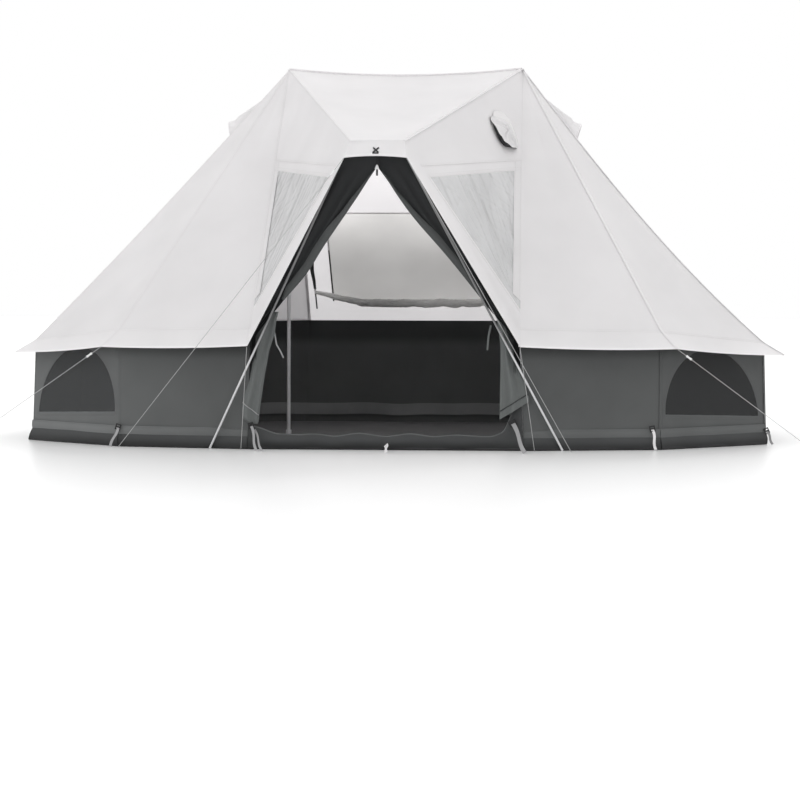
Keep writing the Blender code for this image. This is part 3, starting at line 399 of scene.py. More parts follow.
@dataclass
class MaterialShop:
    """Makes each finish's procedural material once.

    Attributes:
        made: The materials made so far.
        patch_scale: How fine the lighter and darker patches are.
        crease_scale: How fine the cloth's creases are.
        thread_scale: How fine the weave is.
        streak_size: The film's folds: their width, depth and length.
        streaks: Each way of the film's folds: its turn, its place in the noise and its share.
        streak_depth: Height of the film's folds.
        crease_depth: Height of the cloth's creases.
        thread_depth: Height of the weave.
    """

    made: dict[Finish, bpy.types.Material] = field(default_factory=dict)
    patch_scale: float = 2.3
    crease_scale: float = 3.2
    thread_scale: float = 900.0
    streak_size: tuple[float, float, float] = (0.030, 0.35, 0.50)
    streaks: tuple = ((-0.42, 0.0, 1.0), (-0.95, 31.0, 0.5), (0.30, 17.0, 0.25))
    streak_depth: float = 0.02
    crease_depth: float = 0.01
    thread_depth: float = 0.0004

    def get(self, finish: Finish) -> bpy.types.Material:
        """The material of a finish.

        Args:
            finish: Which finish.

        Returns:
            Its material, shared by every piece that has it.
        """
        if finish not in self.made:
            self.made[finish] = self._make(finish.value, LOOKS[finish])
        return self.made[finish]

    def _make(self, name: str, look: Look) -> bpy.types.Material:
        """A Principled material with the look's patches, painted light and shade, relief and clearness."""
        material = bpy.data.materials.new("look_" + name)
        material.use_nodes = True
        tree = material.node_tree
        nodes = NodeMaker(tree)
        shader = tree.nodes["Principled BSDF"]
        shader.inputs["Base Color"].default_value = (*look.color, 1.0)
        shader.inputs["Roughness"].default_value = look.roughness
        shader.inputs["Metallic"].default_value = look.metallic
        place = nodes.add("ShaderNodeTexCoord").outputs["Object"]
        tint = self._tint(nodes, place, look)
        if tint:
            tree.links.new(tint, shader.inputs["Base Color"])
        relief = self._relief(nodes, place, look)
        if relief:
            tree.links.new(relief, shader.inputs["Normal"])
        last = shader.outputs["BSDF"]
        if look.glow:
            through = nodes.add("ShaderNodeBsdfTranslucent", {"Color": tint or (*look.color, 1.0)})
            last = self._blended(nodes, last, through, look.glow)
        if look.see_through:
            last = self._blended(nodes, last, nodes.add("ShaderNodeBsdfTransparent"), look.see_through)
        tree.links.new(last, tree.nodes["Material Output"].inputs["Surface"])
        return material

    @staticmethod
    def _blended(
        nodes: NodeMaker, first: bpy.types.NodeSocket, second: bpy.types.Node, share: float
    ) -> bpy.types.NodeSocket:
        """A shader's socket, mixed with a share of a second shader."""
        values = {"Fac": share, 1: first, 2: second.outputs["BSDF"]}
        return nodes.add("ShaderNodeMixShader", values).outputs["Shader"]

    def _tint(
        self, nodes: NodeMaker, place: bpy.types.NodeSocket, look: Look
    ) -> Optional[bpy.types.NodeSocket]:
        """The colour with its patches, its painted light and shade along axes and its painted shade along a
        film's folds, or None where it is the same all over.
        """
        shares = []
        if look.mottle:
            values = {"Vector": place, "Scale": self.patch_scale, "Detail": 5.0}
            cloud = nodes.add("ShaderNodeTexNoise", values).outputs["Fac"]
            shares.append(nodes.ranged(cloud, (0.3, 0.7), (1.0 - look.mottle, 1.0 + look.mottle)))
        # Each fade is painted light or shade: the colour made lighter or darker along an axis.
        for fade in look.fades:
            level = nodes.add("ShaderNodeSeparateXYZ", {"Vector": place}).outputs[fade.axis]
            ends = (fade.low_share, fade.high_share)
            shares.append(nodes.ranged(level, (fade.low, fade.high), ends, "SMOOTHSTEP"))
        # Painted shade along the film's folds: darker on the fold lines, a little lighter between them.
        if look.crinkle:
            folds = self._folds(nodes, place, -0.50, 7.0)
            shares.append(nodes.ranged(folds, (0.45, 1.6), (1.06, 0.62)))
        tint = None
        for share in shares:
            values = {0: tint or look.color, "Scale": share}
            tint = nodes.add("ShaderNodeVectorMath", values, operation="SCALE").outputs["Vector"]
        return tint

    def _folds(
        self, nodes: NodeMaker, place: bpy.types.NodeSocket, turn: float, seed: float
    ) -> bpy.types.NodeSocket:
        """Long fine folds of stiff film, turned from upright and mirrored from side to side."""
        mirrored = nodes.add("ShaderNodeVectorMath", {0: place}, operation="ABSOLUTE")
        values = {
            "Vector": mirrored.outputs["Vector"],
            "Location": (seed, seed, seed),
            "Rotation": (0.0, turn, 0.0),
            "Scale": self.streak_size,
        }
        turned = nodes.add("ShaderNodeMapping", values, vector_type="TEXTURE")
        values = {"Vector": turned.outputs["Vector"], "Scale": 1.0, "Detail": 4.0}
        return nodes.add("ShaderNodeTexNoise", values, noise_type="RIDGED_MULTIFRACTAL").outputs["Fac"]

    def _relief(
        self, nodes: NodeMaker, place: bpy.types.NodeSocket, look: Look
    ) -> Optional[bpy.types.NodeSocket]:
        """The film's folds, the cloth's creases and the weave, as bumps, or None where it is smooth."""
        bumps = []
        if look.crinkle:
            for turn, seed, share in self.streaks:
                folds = self._folds(nodes, place, turn, seed)
                bumps.append((folds, look.crinkle * share, self.streak_depth))
        if look.creases:
            values = {"Vector": place, "Scale": self.crease_scale, "Detail": 3.0}
            folds = nodes.add("ShaderNodeTexNoise", values, noise_type="RIDGED_MULTIFRACTAL")
            bumps.append((folds.outputs["Fac"], look.creases, self.crease_depth))
        if look.weave:
            values = {"Vector": place, "Scale": self.thread_scale, "Detail": 2.0}
            threads = nodes.add("ShaderNodeTexNoise", values)
            bumps.append((threads.outputs["Fac"], look.weave, self.thread_depth))
        normal = None
        for height, strength, depth in bumps:
            values = {"Height": height, "Strength": strength, "Distance": depth}
            if normal:
                values["Normal"] = normal
            normal = nodes.add("ShaderNodeBump", values).outputs["Normal"]
        return normal


# Geometry helpers


def mix(a: Blend, b: Blend, share: float) -> Blend:
    """The value a share of the way from a to b."""
    return a + (b - a) * share


def smooth(x: float) -> float:
    """Smooth step from 0 to 1."""
    x = min(max(x, 0.0), 1.0)
    return x * x * (3 - 2 * x)


def sides_of(outline: Sequence[Vector]) -> list[tuple[Vector, Vector]]:
    """A closed outline's sides."""
    return list(zip(outline, [*outline[1:], outline[0]]))


def closed(outline: Sequence[Vector]) -> list[Vector]:
    """An outline that ends where it starts."""
    return [*outline, outline[0]]


def length_of(path: Sequence[Vector]) -> float:
    """A path's length."""
    return sum((b - a).length for a, b in zip(path, path[1:]))


def spread(points: Sequence[Vector]) -> list[tuple[Vector, float]]:
    """Each point with its share of the way along."""
    last = len(points) - 1
    return [(p, i / last) for i, p in enumerate(points)]


def hash_of(name: str) -> float:
    """A steady number from a name, for seeds."""
    return sum((i + 1) * ord(c) for i, c in enumerate(name)) % 97 * 1.37


def wave(across: float, up: float, place: float) -> float:
    """A slow wave over a surface, from -1 to 1."""
    return noise.noise(Vector((across, up, place)))


def normal_of(points: Sequence[Vector]) -> Vector:
    """A polygon's unit normal."""
    total = Vector()
    for a, b in sides_of(points):
        total += (a - points[0]).cross(b - points[0])
    return total.normalized()


def resampled(path: Sequence[Vector], count: int) -> list[Vector]:
    """Points spread evenly along a path."""
    lengths = [0.0]
    for a, b in zip(path, path[1:]):
        lengths.append(lengths[-1] + (b - a).length)
    spots = []
    piece = 0
    for i in range(count):
        want = lengths[-1] * i / (count - 1)
        while piece < len(path) - 2 and lengths[piece + 1] < want:
            piece += 1
        span = max(lengths[piece + 1] - lengths[piece], 1e-9)
        spots.append(mix(path[piece], path[piece + 1], (want - lengths[piece]) / span))
    return spots


def distance_to_path(p: Vector, path: Sequence[Vector]) -> float:
    """The distance from a point to the nearest piece of a path."""
    best = 1e9
    for a, b in zip(path, path[1:]):
        way = b - a
        share = min(max((p - a).dot(way) / max(way.dot(way), 1e-12), 0.0), 1.0)
        best = min(best, (p - a - way * share).length)
    return best


class Sheet:
    """A piece of cloth, laid out as patches of points and then creased and thickened."""

    def __init__(self, name: str, finish: Finish, thickness: float = CANVAS) -> None:
        """Starts an empty sheet.

        Args:
            name: The object's name.
            finish: Its finish.
            thickness: The cloth's thickness, in metres.
        """
        self.name = name
        self.finish = finish
        self.thickness = thickness
        self.bm = bmesh.new()
        self.uv = self.bm.loops.layers.uv.new("cloth")

    def patch(self, rows: Rows, loop: bool = False) -> None:
        """Adds a grid of points.

        Args:
            rows: Rows of points, all of one length.
            loop: Whether each row closes on itself.
        """
        across = [0.0]
        middle = rows[len(rows) // 2]
        for a, b in zip(middle, middle[1:]):
            across.append(across[-1] + (b - a).length)
        across.append(across[-1] + (middle[0] - middle[-1]).length)
        down = [0.0]
        column = len(middle) // 2
        for a, b in zip(rows, rows[1:]):
            down.append(down[-1] + (b[column] - a[column]).length)
        made = [[self.bm.verts.new(p) for p in row] for row in rows]
        count = len(middle)
        for r in range(len(rows) - 1):
            for c in range(count if loop else count - 1):
                d = (c + 1) % count
                ring = [made[r][c], made[r][d], made[r + 1][d], made[r + 1][c]]
                face = self.bm.faces.new(ring)
                spots = [(c, r), (c + 1, r), (c + 1, r + 1), (c, r + 1)]
                for corner, (u, v) in zip(face.loops, spots):
                    corner[self.uv].uv = (across[u], down[v])

    def crease(self, wrinkle: Wrinkle, held: Rows, focus: Optional[Vector] = None) -> None:
        """Moves the points between the held edges in and out.

        Args:
            wrinkle: How the cloth is creased.
            held: Paths along which it can't move.
            focus: Where the folds converge, if they do.
        """
        bmesh.ops.remove_doubles(self.bm, verts=self.bm.verts, dist=WELD)
        bmesh.ops.recalc_face_normals(self.bm, faces=self.bm.faces)
        self.bm.normal_update()
        overall = sum((f.normal * f.calc_area() for f in self.bm.faces), Vector()).normalized()
        side = overall.cross(UP).normalized()
        down = side.cross(overall).normalized()
        moves = []
        for vertex in self.bm.verts:
            p = vertex.co
            far = min(distance_to_path(p, path) for path in held)
            hold = smooth(far / wrinkle.reach)
            if hold == 0.0:
                moves.append(0.0)
                continue
            if focus is None:
                a, b = p.dot(side), p.dot(down)
            else:
                arm = p - focus
                b = arm.length
                a = math.atan2(arm.dot(side), abs(arm.dot(down)) + 0.05) * 1.6
            moves.append(hold * fold_height(wrinkle, a, b) - wrinkle.hollow * hold)
        turn = 1.0 if overall.dot(self._middle() - CABIN_MIDDLE) > 0 else -1.0
        for vertex, move in zip(self.bm.verts, moves):
            vertex.co += overall * (move * turn)

    def _middle(self) -> Vector:
        """The mean of the sheet's points."""
        return sum((v.co for v in self.bm.verts), Vector()) / len(self.bm.verts)

    def done(
        self, shop: MaterialShop, away_from: Vector = CABIN_MIDDLE, inner: Optional[Finish] = None
    ) -> bpy.types.Object:
        """Turns the sheet into an object with its outer face where the points are.

        Args:
            shop: Where materials come from.
            away_from: A point behind the outer face.
            inner: The inner face's finish, if it is another.

        Returns:
            The finished object.
        """
        bmesh.ops.remove_doubles(self.bm, verts=self.bm.verts, dist=WELD)
        bmesh.ops.recalc_face_normals(self.bm, faces=self.bm.faces)
        facing = sum((f.normal * f.calc_area() for f in self.bm.faces), Vector())
        if facing.dot(self._middle() - away_from) < 0:
            bmesh.ops.reverse_faces(self.bm, faces=self.bm.faces)
        mesh = bpy.data.meshes.new(self.name)
        self.bm.to_mesh(mesh)
        self.bm.free()
        thing = link(bpy.data.objects.new(self.name, mesh))
        thing.data.materials.append(shop.get(self.finish))
        solidify = thing.modifiers.new("thickness", "SOLIDIFY")
        solidify.thickness = self.thickness
        solidify.offset = -1.0
        if inner:
            thing.data.materials.append(shop.get(inner))
            solidify.material_offset = 1
        freeze(thing)
        thing.data.shade_smooth()
        thing.data.set_sharp_from_angle(angle=SHARP_ANGLE)
        return thing


def fold_height(wrinkle: Wrinkle, a: float, b: float) -> float:
    """The folds' height at a place in the cloth's own plane."""
    spot = Vector((a * wrinkle.across, b * wrinkle.along, wrinkle.seed))
    soft = noise.noise(spot) + 0.45 * noise.noise(spot * 2.3 + Vector((7.1, 3.3, 0)))
    if wrinkle.crease:
        sharp = 1 - 2 * abs(noise.noise(spot * 1.7 + Vector((2.0, 9.0, 4.0))))
        soft = mix(soft, sharp * 1.1 - 0.5, wrinkle.crease)
    return wrinkle.depth * soft


def link(thing: bpy.types.Object) -> bpy.types.Object:
    """Puts an object in the scene."""
    bpy.context.scene.collection.objects.link(thing)
    return thing


def freeze(thing: bpy.types.Object) -> None:
    """Turns an object's modifiers into plain mesh."""
    graph = bpy.context.evaluated_depsgraph_get()
    mesh = bpy.data.meshes.new_from_object(thing.evaluated_get(graph))
    old = thing.data
    thing.modifiers.clear()
    thing.data = mesh
    bpy.data.meshes.remove(old)


def fan_rows(corner: Vector, edge: Sequence[Vector], rows: int) -> list[list[Vector]]:
    """Rows of points that open out from a corner to an edge."""
    return [[mix(corner, p, r / rows) for p in edge] for r in range(rows + 1)]


def ruled_rows(top: Sequence[Vector], foot: Sequence[Vector], rows: int) -> list[list[Vector]]:
    """Rows of points from one edge to another."""
    return [[mix(a, b, r / rows) for a, b in zip(top, foot)] for r in range(rows + 1)]


def grid_rows(rows: int, columns: int, spot: Callable[[float, float], Vector]) -> list[list[Vector]]:
    """Rows of points from a rule.

    Args:
        rows: How many steps there are down.
        columns: How many steps there are across.
        spot: The point at a share of the way down and a share of the way across.

    Returns:
        The rows, from the top down.
    """
    return [[spot(r / rows, c / columns) for c in range(columns + 1)] for r in range(rows + 1)]


def dipped_line(ends: Sequence[Vector], count: int, dip: float) -> list[Vector]:
    """Points along an edge that hangs a little between its ends."""
    return [p - UP * (dip * 4 * s * (1 - s)) for p, s in spread(resampled(ends, count))]


def ring_rows(
    hole: Sequence[Vector], outline: Sequence[Vector], step: float, rows: int
) -> list[list[Vector]]:
    """Rows of points from a hole's edge out to a panel's edge, with both edges' corners kept.

    Args:
        hole: The hole's corners, in order.
        outline: The panel's corners, in order.
        step: The spacing of points along the outline.
        rows: How many rows to lay between the two.

    Returns:
        Closed rows, from the hole outwards.
    """
    centre = sum(hole, Vector()) / len(hole)
    normal = normal_of(outline)
    side = (outline[1] - outline[0]).normalized()
    front = normal.cross(side)

    def flat(p: Vector) -> tuple[float, float]:
        """A point's place in the panel's own plane."""
        arm = p - centre
        return arm.dot(side), arm.dot(front)

    def reach(turn: float, loop: Sequence[Vector]) -> Optional[Vector]:
        """Where an outline is met at an angle from the centre."""
        way = (math.cos(turn), math.sin(turn))
        best = None
        for a, b in sides_of(loop):
            ax, ay = flat(a)
            bx, by = flat(b)
            cross = way[0] * (by - ay) - way[1] * (bx - ax)
            if abs(cross) < 1e-12:
                continue
            share = (way[1] * ax - way[0] * ay) / cross
            if -1e-7 <= share <= 1 + 1e-7:
                p = mix(a, b, share)
                px, py = flat(p)
                if px * way[0] + py * way[1] > 0:
                    best = p
        return best

    turns = set()
    for loop in (hole, outline):
        for a, b in sides_of(loop):
            count = max(1, round((b - a).length / step))
            for i in range(count):
                x, y = flat(mix(a, b, i / count))
                turns.add(round(math.atan2(y, x), 5))
    order = []
    for turn in sorted(turns):
        if not order or turn - order[-1] > 0.004:
            order.append(turn)
    pairs = [(reach(t, hole), reach(t, outline)) for t in order]
    pairs = [(a, b) for a, b in pairs if a is not None and b is not None]
    return [[mix(a, b, r / rows) for a, b in pairs] for r in range(rows + 1)]


# The corners of the canopy and the walls


class Corners:
    """The canopy's and walls' corners: l or r for the side, f or b for front or back."""

    def __init__(self, sizes: TentSizes) -> None:
        """Finds every corner.

        Args:
            sizes: The tent's driving sizes.
        """
        self.sizes = s = sizes
        self.at: dict[str, Vector] = {}
        centred = Vector((0.0, s.forward, 0.0))
        for tag, side in (("l", -1), ("r", 1)):
            apex = Vector((side * s.ridge_half, 0.0, s.ridge_height))
            hood = Vector((side * s.hood[0] + s.hood_shift, -s.hood[1], s.hood[2]))
            self.at["apex_" + tag] = apex
            self.at["hood_" + tag] = hood
            for end, way in (("f", -1), ("b", 1)):
                key = "_" + tag + end
                for name, spot in (("eave0", s.eave_door), ("eave1", s.eave_side), ("eave2", s.eave_end)):
                    self.at[name + key] = Vector((side * spot[0], way * spot[1], spot[2]))
                share = (s.ridge_height - s.knee_door_height) / (s.ridge_height - s.eave_door[2])
                self.at["knee0" + key] = mix(apex, self.at["eave0" + key], share)
                for name, spot in (("knee1", s.knee_side), ("knee2", s.knee_end)):
                    self.at[name + key] = Vector((side * spot[0], way * spot[1], spot[2]))
                for name, plan in (("base0", s.base_door), ("base1", s.base_side), ("base2", s.base_end)):
                    self.at[name + key] = Vector((side * plan[0], way * plan[1], 0.0))
            normal = normal_of([apex, hood, self.at["eave0_" + tag + "f"]])
            raised = mix(self.at["knee0_" + tag + "f"], self.at["eave0_" + tag + "f"], s.door_corner_share)
            crest = Vector((side * s.crest_half + s.crest_shift, 0.0, s.crest_height))
            crest.y = -(normal.dot(crest) - normal.dot(hood)) / normal.y
            self.at["crest_" + tag] = crest
            door = self.at["eave0_" + tag + "f"]
            self.at["window_foot_" + tag] = mix(door, apex, s.window_foot_share)
            self.at["window_top_" + tag] = mix(door, apex, s.window_top_share)
            self.at["window_inner_" + tag] = mix(crest, self.at["window_foot_" + tag], s.window_inner_share)
            self.at["eave0_" + tag + "f"] = raised
        for key in self.at:
            self.at[key] = self.at[key] + centred

    def __getitem__(self, key: str) -> Vector:
        """The corner of a name."""
        return self.at[key]

    def ridge(self, share: float) -> Vector:
        """A point on the sagging ridge, from left to right."""
        point = mix(self["apex_l"], self["apex_r"], share)
        point.z -= self.sizes.ridge_sag * 4 * share * (1 - share)
        return point

    def top_out(self) -> Vector:
        """The ridge panel's outward normal."""
        return self.facing("apex_l", "apex_r", "crest_l")

    def visor_out(self) -> Vector:
        """The visor's outward normal."""
        return self.facing("crest_l", "crest_r", "hood_l")

    def door_out(self, tag: str) -> Vector:
        """The outward normal of a panel beside the doorway."""
        return self.facing("apex_" + tag, "hood_" + tag, "eave0_" + tag + "f")

    def back_out(self) -> Vector:
        """The back panel's outward normal."""
        return self.facing("apex_l", "apex_r", "knee0_rb")

    def end_out(self, tag: str) -> Vector:
        """An end panel's outward normal, as if it were flat."""
        return self.facing("apex_" + tag, "knee2_" + tag + "f", "knee2_" + tag + "b")

    def end_sag(self, tag: str, share: float) -> float:
        """How far an end panel hangs in at a share of the way down."""
        most = self.sizes.end_sag_left if tag == "l" else self.sizes.end_sag_right
        crown = 1.5 * math.sqrt(3)
        return most * crown * share * (1 - share * share)

    def end_seam(self, tag: str, end: str, count: int = 40) -> list[Vector]:
        """An end panel's seam from the pole's tip to the knee, hanging in."""
        apex, knee, out = self["apex_" + tag], self["knee2_" + tag + end], self.end_out(tag)
        shares = [i / count for i in range(count + 1)]
        return [mix(apex, knee, s) - out * self.end_sag(tag, s) for s in shares]

    def on_end(self, tag: str, point: Vector) -> Vector:
        """A point of the flat end panel, moved to where the panel hangs."""
        apex, knee = self["apex_" + tag], self["knee2_" + tag + "f"]
        share = min(max((apex.z - point.z) / (apex.z - knee.z), 0.0), 1.0)
        return point - self.end_out(tag) * self.end_sag(tag, share)

    def facing(self, *keys: str) -> Vector:
        """The outward normal of the plane through three corners."""
        points = [self[k] for k in keys]
        normal = normal_of(points)
        return normal if normal.dot(points[0] - CABIN_MIDDLE) > 0 else -normal


# Sub-assemblies


DARK_CLOTH = (Finish.WALL, Finish.MUD_FLAP, Finish.DOOR, Finish.BLACK)


@dataclass
class Workshop:
    """What every sub-assembly works with.

    Attributes:
        frame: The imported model's nodes and record.
        corners: The canopy's and walls' corners.
        shop: Where materials come from.
        stitches: The seam lines gathered so far, by thread.
        pieces: The names of the pieces made so far.
    """

    frame: dict
    corners: Corners
    shop: MaterialShop
    stitches: dict[Finish, list[list[Vector]]] = field(default_factory=dict)
    pieces: list[str] = field(default_factory=list)


@dataclass
class Assembly:
    """A sub-assembly of the tent.

    Attributes:
        workshop: What it works with.
    """

    workshop: Workshop

    @property
    def c(self) -> Corners:
        """The tent's corners."""
        return self.workshop.corners

    def settle(
        self,
        thing: bpy.types.Object,
        finish: Finish,
        nodes: Iterable[str] = (),
        held: Optional[str] = "stretched",
        body: str = BODY,
        rests_on: Sequence[str] = (),
        flat: Optional[tuple[float, float]] = None,
    ) -> bpy.types.Object:
        """Gives a piece its body, hides the CAD nodes it stands for and notes its name.

        Args:
            thing: The piece.
            finish: Its finish.
            nodes: The CAD nodes that it replaces.
            held: How a sheet of cloth is held, or None for other pieces.
            body: The body it rides on.
            rests_on: What a sheet hangs from; not used.
            flat: A sheet's width and length laid flat, if they're known; not used.

        Returns:
            The piece.
        """
        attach(thing, body)
        if nodes:
            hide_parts(*nodes)
        finish.slot
        if held:
            length = max(thing.dimensions)
        self.workshop.pieces.append(thing.name)
        return thing

    def cloth(
        self,
        name: str,
        finish: Finish,
        *patches: Rows,
        loop: bool = False,
        crease: tuple = (),
        thickness: float = CANVAS,
        away_from: Vector = CABIN_MIDDLE,
        inner: Optional[Finish] = None,
        **settled,
    ) -> bpy.types.Object:
        """Makes a piece of cloth and settles it.

        Args:
            name: The object's name.
            finish: Its finish.
            patches: Its rows of points, patch by patch.
            loop: Whether the first patch's rows close on themselves.
            crease: The wrinkle, the held edges and where the folds converge, if it is creased.
            thickness: The cloth's thickness.
            away_from: A point behind the outer face.
            inner: The inner face's finish, if it is another.
            settled: What settle takes beside the piece and its finish.

        Returns:
            The piece.
        """
        sheet = Sheet(name, finish, thickness)
        for i, rows in enumerate(patches):
            sheet.patch(rows, loop and i == 0)
        if crease:
            sheet.crease(*crease)
        return self.settle(sheet.done(self.workshop.shop, away_from, inner), finish, **settled)

    def sew(self, path: Sequence[Vector], normal: Vector, dark: bool = False) -> None:
        """Adds a row of stitches along a path, a little proud of the cloth."""
        thread = Finish.THREAD_DARK if dark else Finish.THREAD_PALE
        self.workshop.stitches.setdefault(thread, []).append([p + normal * 0.0006 for p in path])

    def tape(
        self,
        name: str,
        path: Sequence[Vector],
        normals: tuple[Vector, Vector],
        width: float,
        finish: Finish,
        lift: float = 0.0006,
        sewn: bool = True,
        **settled,
    ) -> bpy.types.Object:
        """Lays a strip along a seam, lapped on to the cloth on both sides.

        Args:
            name: The strip's name.
            path: The seam's line.
            normals: The outward normals on the seam's left and right.
            width: The strip's whole width.
            finish: Its finish.
            lift: How proud of the cloth it lies.
            sewn: Whether it has a row of stitches near each edge.
            settled: What settle takes beside the piece and its finish.

        Returns:
            The strip.
        """
        left, right = normals
        rows = []
        edges = ([], [])
        mean = (left + right).normalized()
        for i, p in enumerate(path):
            ahead = (path[min(i + 1, len(path) - 1)] - path[max(i - 1, 0)]).normalized()
            out_left = left.cross(ahead).normalized() * (width / 2)
            out_right = ahead.cross(right).normalized() * (width / 2)
            if out_left.dot(out_right) > 0:
                out_left = -out_left
            row = [
                p + out_left + left * lift,
                p + out_left * 0.5 + left * lift * 1.5,
                p + mean * lift * 2,
                p + out_right * 0.5 + right * lift * 1.5,
                p + out_right + right * lift,
            ]
            rows.append(row)
            edges[0].append(p + out_left * 0.72 + left * lift * 1.3)
            edges[1].append(p + out_right * 0.72 + right * lift * 1.3)
        strip = self.cloth(name, finish, rows, thickness=FILM, **{"held": None, **settled})
        if sewn:
            self.sew(edges[0], left, finish in DARK_CLOTH)
            self.sew(edges[1], right, finish in DARK_CLOTH)
        return strip

    def eave_hem(
        self, name: str, eave_line: Sequence[Vector], knee_line: Sequence[Vector], out: Vector
    ) -> None:
        """The folded hem along a panel's eave."""
        edge = [mix(a, b, 0.06) for a, b in zip(eave_line, knee_line)]
        self.tape("eave_hem_" + name, edge, (out, out), 0.024, Finish.BAND)


@dataclass
class Canopy(Assembly):
    """The roof's panels, with their eave bands and seams.

    Attributes:
        eave_dip: How far an eave hangs between two corners.
        seam_tape: Width of the seams that run down from the apex.
        knee_tape: Width of the seams over the walls.
        ridge_tape: Width of the ridge's seam.
        visor_hem: Width of the visor's hem.
        hem_binding: Width of the binding beside the doorway.
        stitch_step: Spacing of the points along a long seam.
    """

    eave_dip: float = 0.012
    seam_tape: float = 0.024
    knee_tape: float = 0.022
    ridge_tape: float = 0.03
    visor_hem: float = 0.018
    hem_binding: float = 0.02
    stitch_step: float = 0.06

    def build(self) -> None:
        """Makes every roof panel that has no window."""
        self._ridge_panel()
        self._visor()
        for tag, name in SIDES:
            self._hem(tag, name)
            for end, word in ENDS:
                self._gore(tag, end, f"roof_{word}_{name}", ("0", "1"))
                self._gore(tag, end, f"roof_{word}_corner_{name}", ("1", "2"))
            self._seams(tag, name)

    def _gore(self, tag: str, end: str, node: str, numbers: tuple[str, str]) -> None:
        """A three-cornered panel with its flared eave band."""
        key = "_" + tag + end
        apex = self.c["apex_" + tag]
        knees = [self.c["knee" + n + key] for n in numbers]
        eaves = [self.c["eave" + n + key] for n in numbers]
        count = round((knees[1] - knees[0]).length / GRID) + 1
        knee_line = resampled(knees, count)
        eave_line = dipped_line(eaves, count, self.eave_dip)
        rows = fan_rows(apex, knee_line, round((knees[0] - apex).length / GRID))
        far_seam = [apex, knees[1]]
        if numbers[1] == "2":
            self._sag_rows(rows, tag)
            far_seam = self.c.end_seam(tag, end, 12)
        band = ruled_rows(knee_line, eave_line, 5)
        held = [[apex, knees[0]], far_seam, knees, eaves, [knees[0], eaves[0]], [knees[1], eaves[1]]]
        crease = (Wrinkle(0.007, 2.2, 0.5, 0.012, 0.25, 0.15, hash_of(node)), held, apex)
        self.cloth(node, Finish.ROOF, rows, band, crease=crease, nodes=[node])
        out = self.c.facing("apex_" + tag, "knee" + numbers[0] + key, "knee" + numbers[1] + key)
        flare = self.c.facing("knee" + numbers[0] + key, "eave" + numbers[0] + key, "eave" + numbers[1] + key)
        self.tape("knee_tape_" + node, knee_line, (out, flare), self.knee_tape, Finish.ROOF)
        self.eave_hem(node, eave_line, knee_line, flare)

    def _sag_rows(self, rows: Sequence[list[Vector]], tag: str) -> None:
        """Moves a corner panel's points in with the end seam, and less towards the other seam."""
        out = self.c.end_out(tag)
        for r, row in enumerate(rows):
            down = r / (len(rows) - 1)
            for c, point in enumerate(row):
                across = c / (len(row) - 1)
                pull = 1 - down * (1 - across)
                if pull > 0.0:
                    row[c] = point - out * (self.c.end_sag(tag, down * across / pull) * pull)

    def _ridge_panel(self) -> None:
        """The panel from the ridge down to the hood's crest."""

        def spot(down: float, across: float) -> Vector:
            """A point of the hanging panel."""
            point = mix(self.c.ridge(across), mix(self.c["crest_l"], self.c["crest_r"], across), down)
            point.z -= self.c.sizes.ridge_panel_sag * 4 * across * (1 - across) * 4 * down * (1 - down)
            return point

        rows = grid_rows(40, 40, spot)
        held = [rows[0], rows[-1], [row[0] for row in rows], [row[-1] for row in rows]]
        crease = (Wrinkle(0.006, 2.4, 1.0, 0.0, 0.3, 0.1, 3.0), held)
        self.cloth("ridge_cloth", Finish.ROOF, rows, crease=crease, nodes=["ridge_panel"])
        normals = (self.c.top_out(), self.c.back_out())
        self.tape("ridge_tape", rows[0], normals, self.ridge_tape, Finish.ROOF)

    def _visor(self) -> None:
        """The visor over the door frame's top bar, with its hem."""
        sizes = self.c.sizes

        def spot(down: float, across: float) -> Vector:
            """A point of the visor, which arches up and bulges out at its middle."""
            crown = 4 * across * (1 - across)
            hood = mix(self.c["hood_l"], self.c["hood_r"], across)
            hood.z += sizes.hood_arch * crown
            point = mix(mix(self.c["crest_l"], self.c["crest_r"], across), hood, down)
            point.y -= sizes.hood_bulge * crown * math.sin(math.pi * down / 2)
            return point

        rows = grid_rows(8, 24, spot)
        self.cloth("visor_cloth", Finish.ROOF, rows, nodes=["hood_visor"])
        out = self.c.visor_out()
        self.tape("crest_tape", rows[0], (self.c.top_out(), out), self.seam_tape, Finish.ROOF)
        edge = [mix(a, b, 0.10) for a, b in zip(rows[-1], rows[0])]
        self.tape("visor_hem", edge, (out, out), self.visor_hem, Finish.BAND)

    def _hem(self, tag: str, name: str) -> None:
        """The wide hem beside the doorway."""
        inner = [self.c["crest_" + tag], self.c["window_foot_" + tag]]
        outer = [self.c["hood_" + tag], self.c["eave0_" + tag + "f"]]
        rows = ruled_rows(resampled(inner, 60), resampled(outer, 60), 6)
        self.cloth("hem_cloth_" + name, Finish.ROOF, rows, nodes=["door_hem_" + name])
        out = self.c.door_out(tag)
        edge = [mix(a, b, 0.10) for a, b in zip(rows[-1], rows[0])]
        self.tape("hem_binding_" + name, edge, (out, out), self.hem_binding, Finish.BAND)

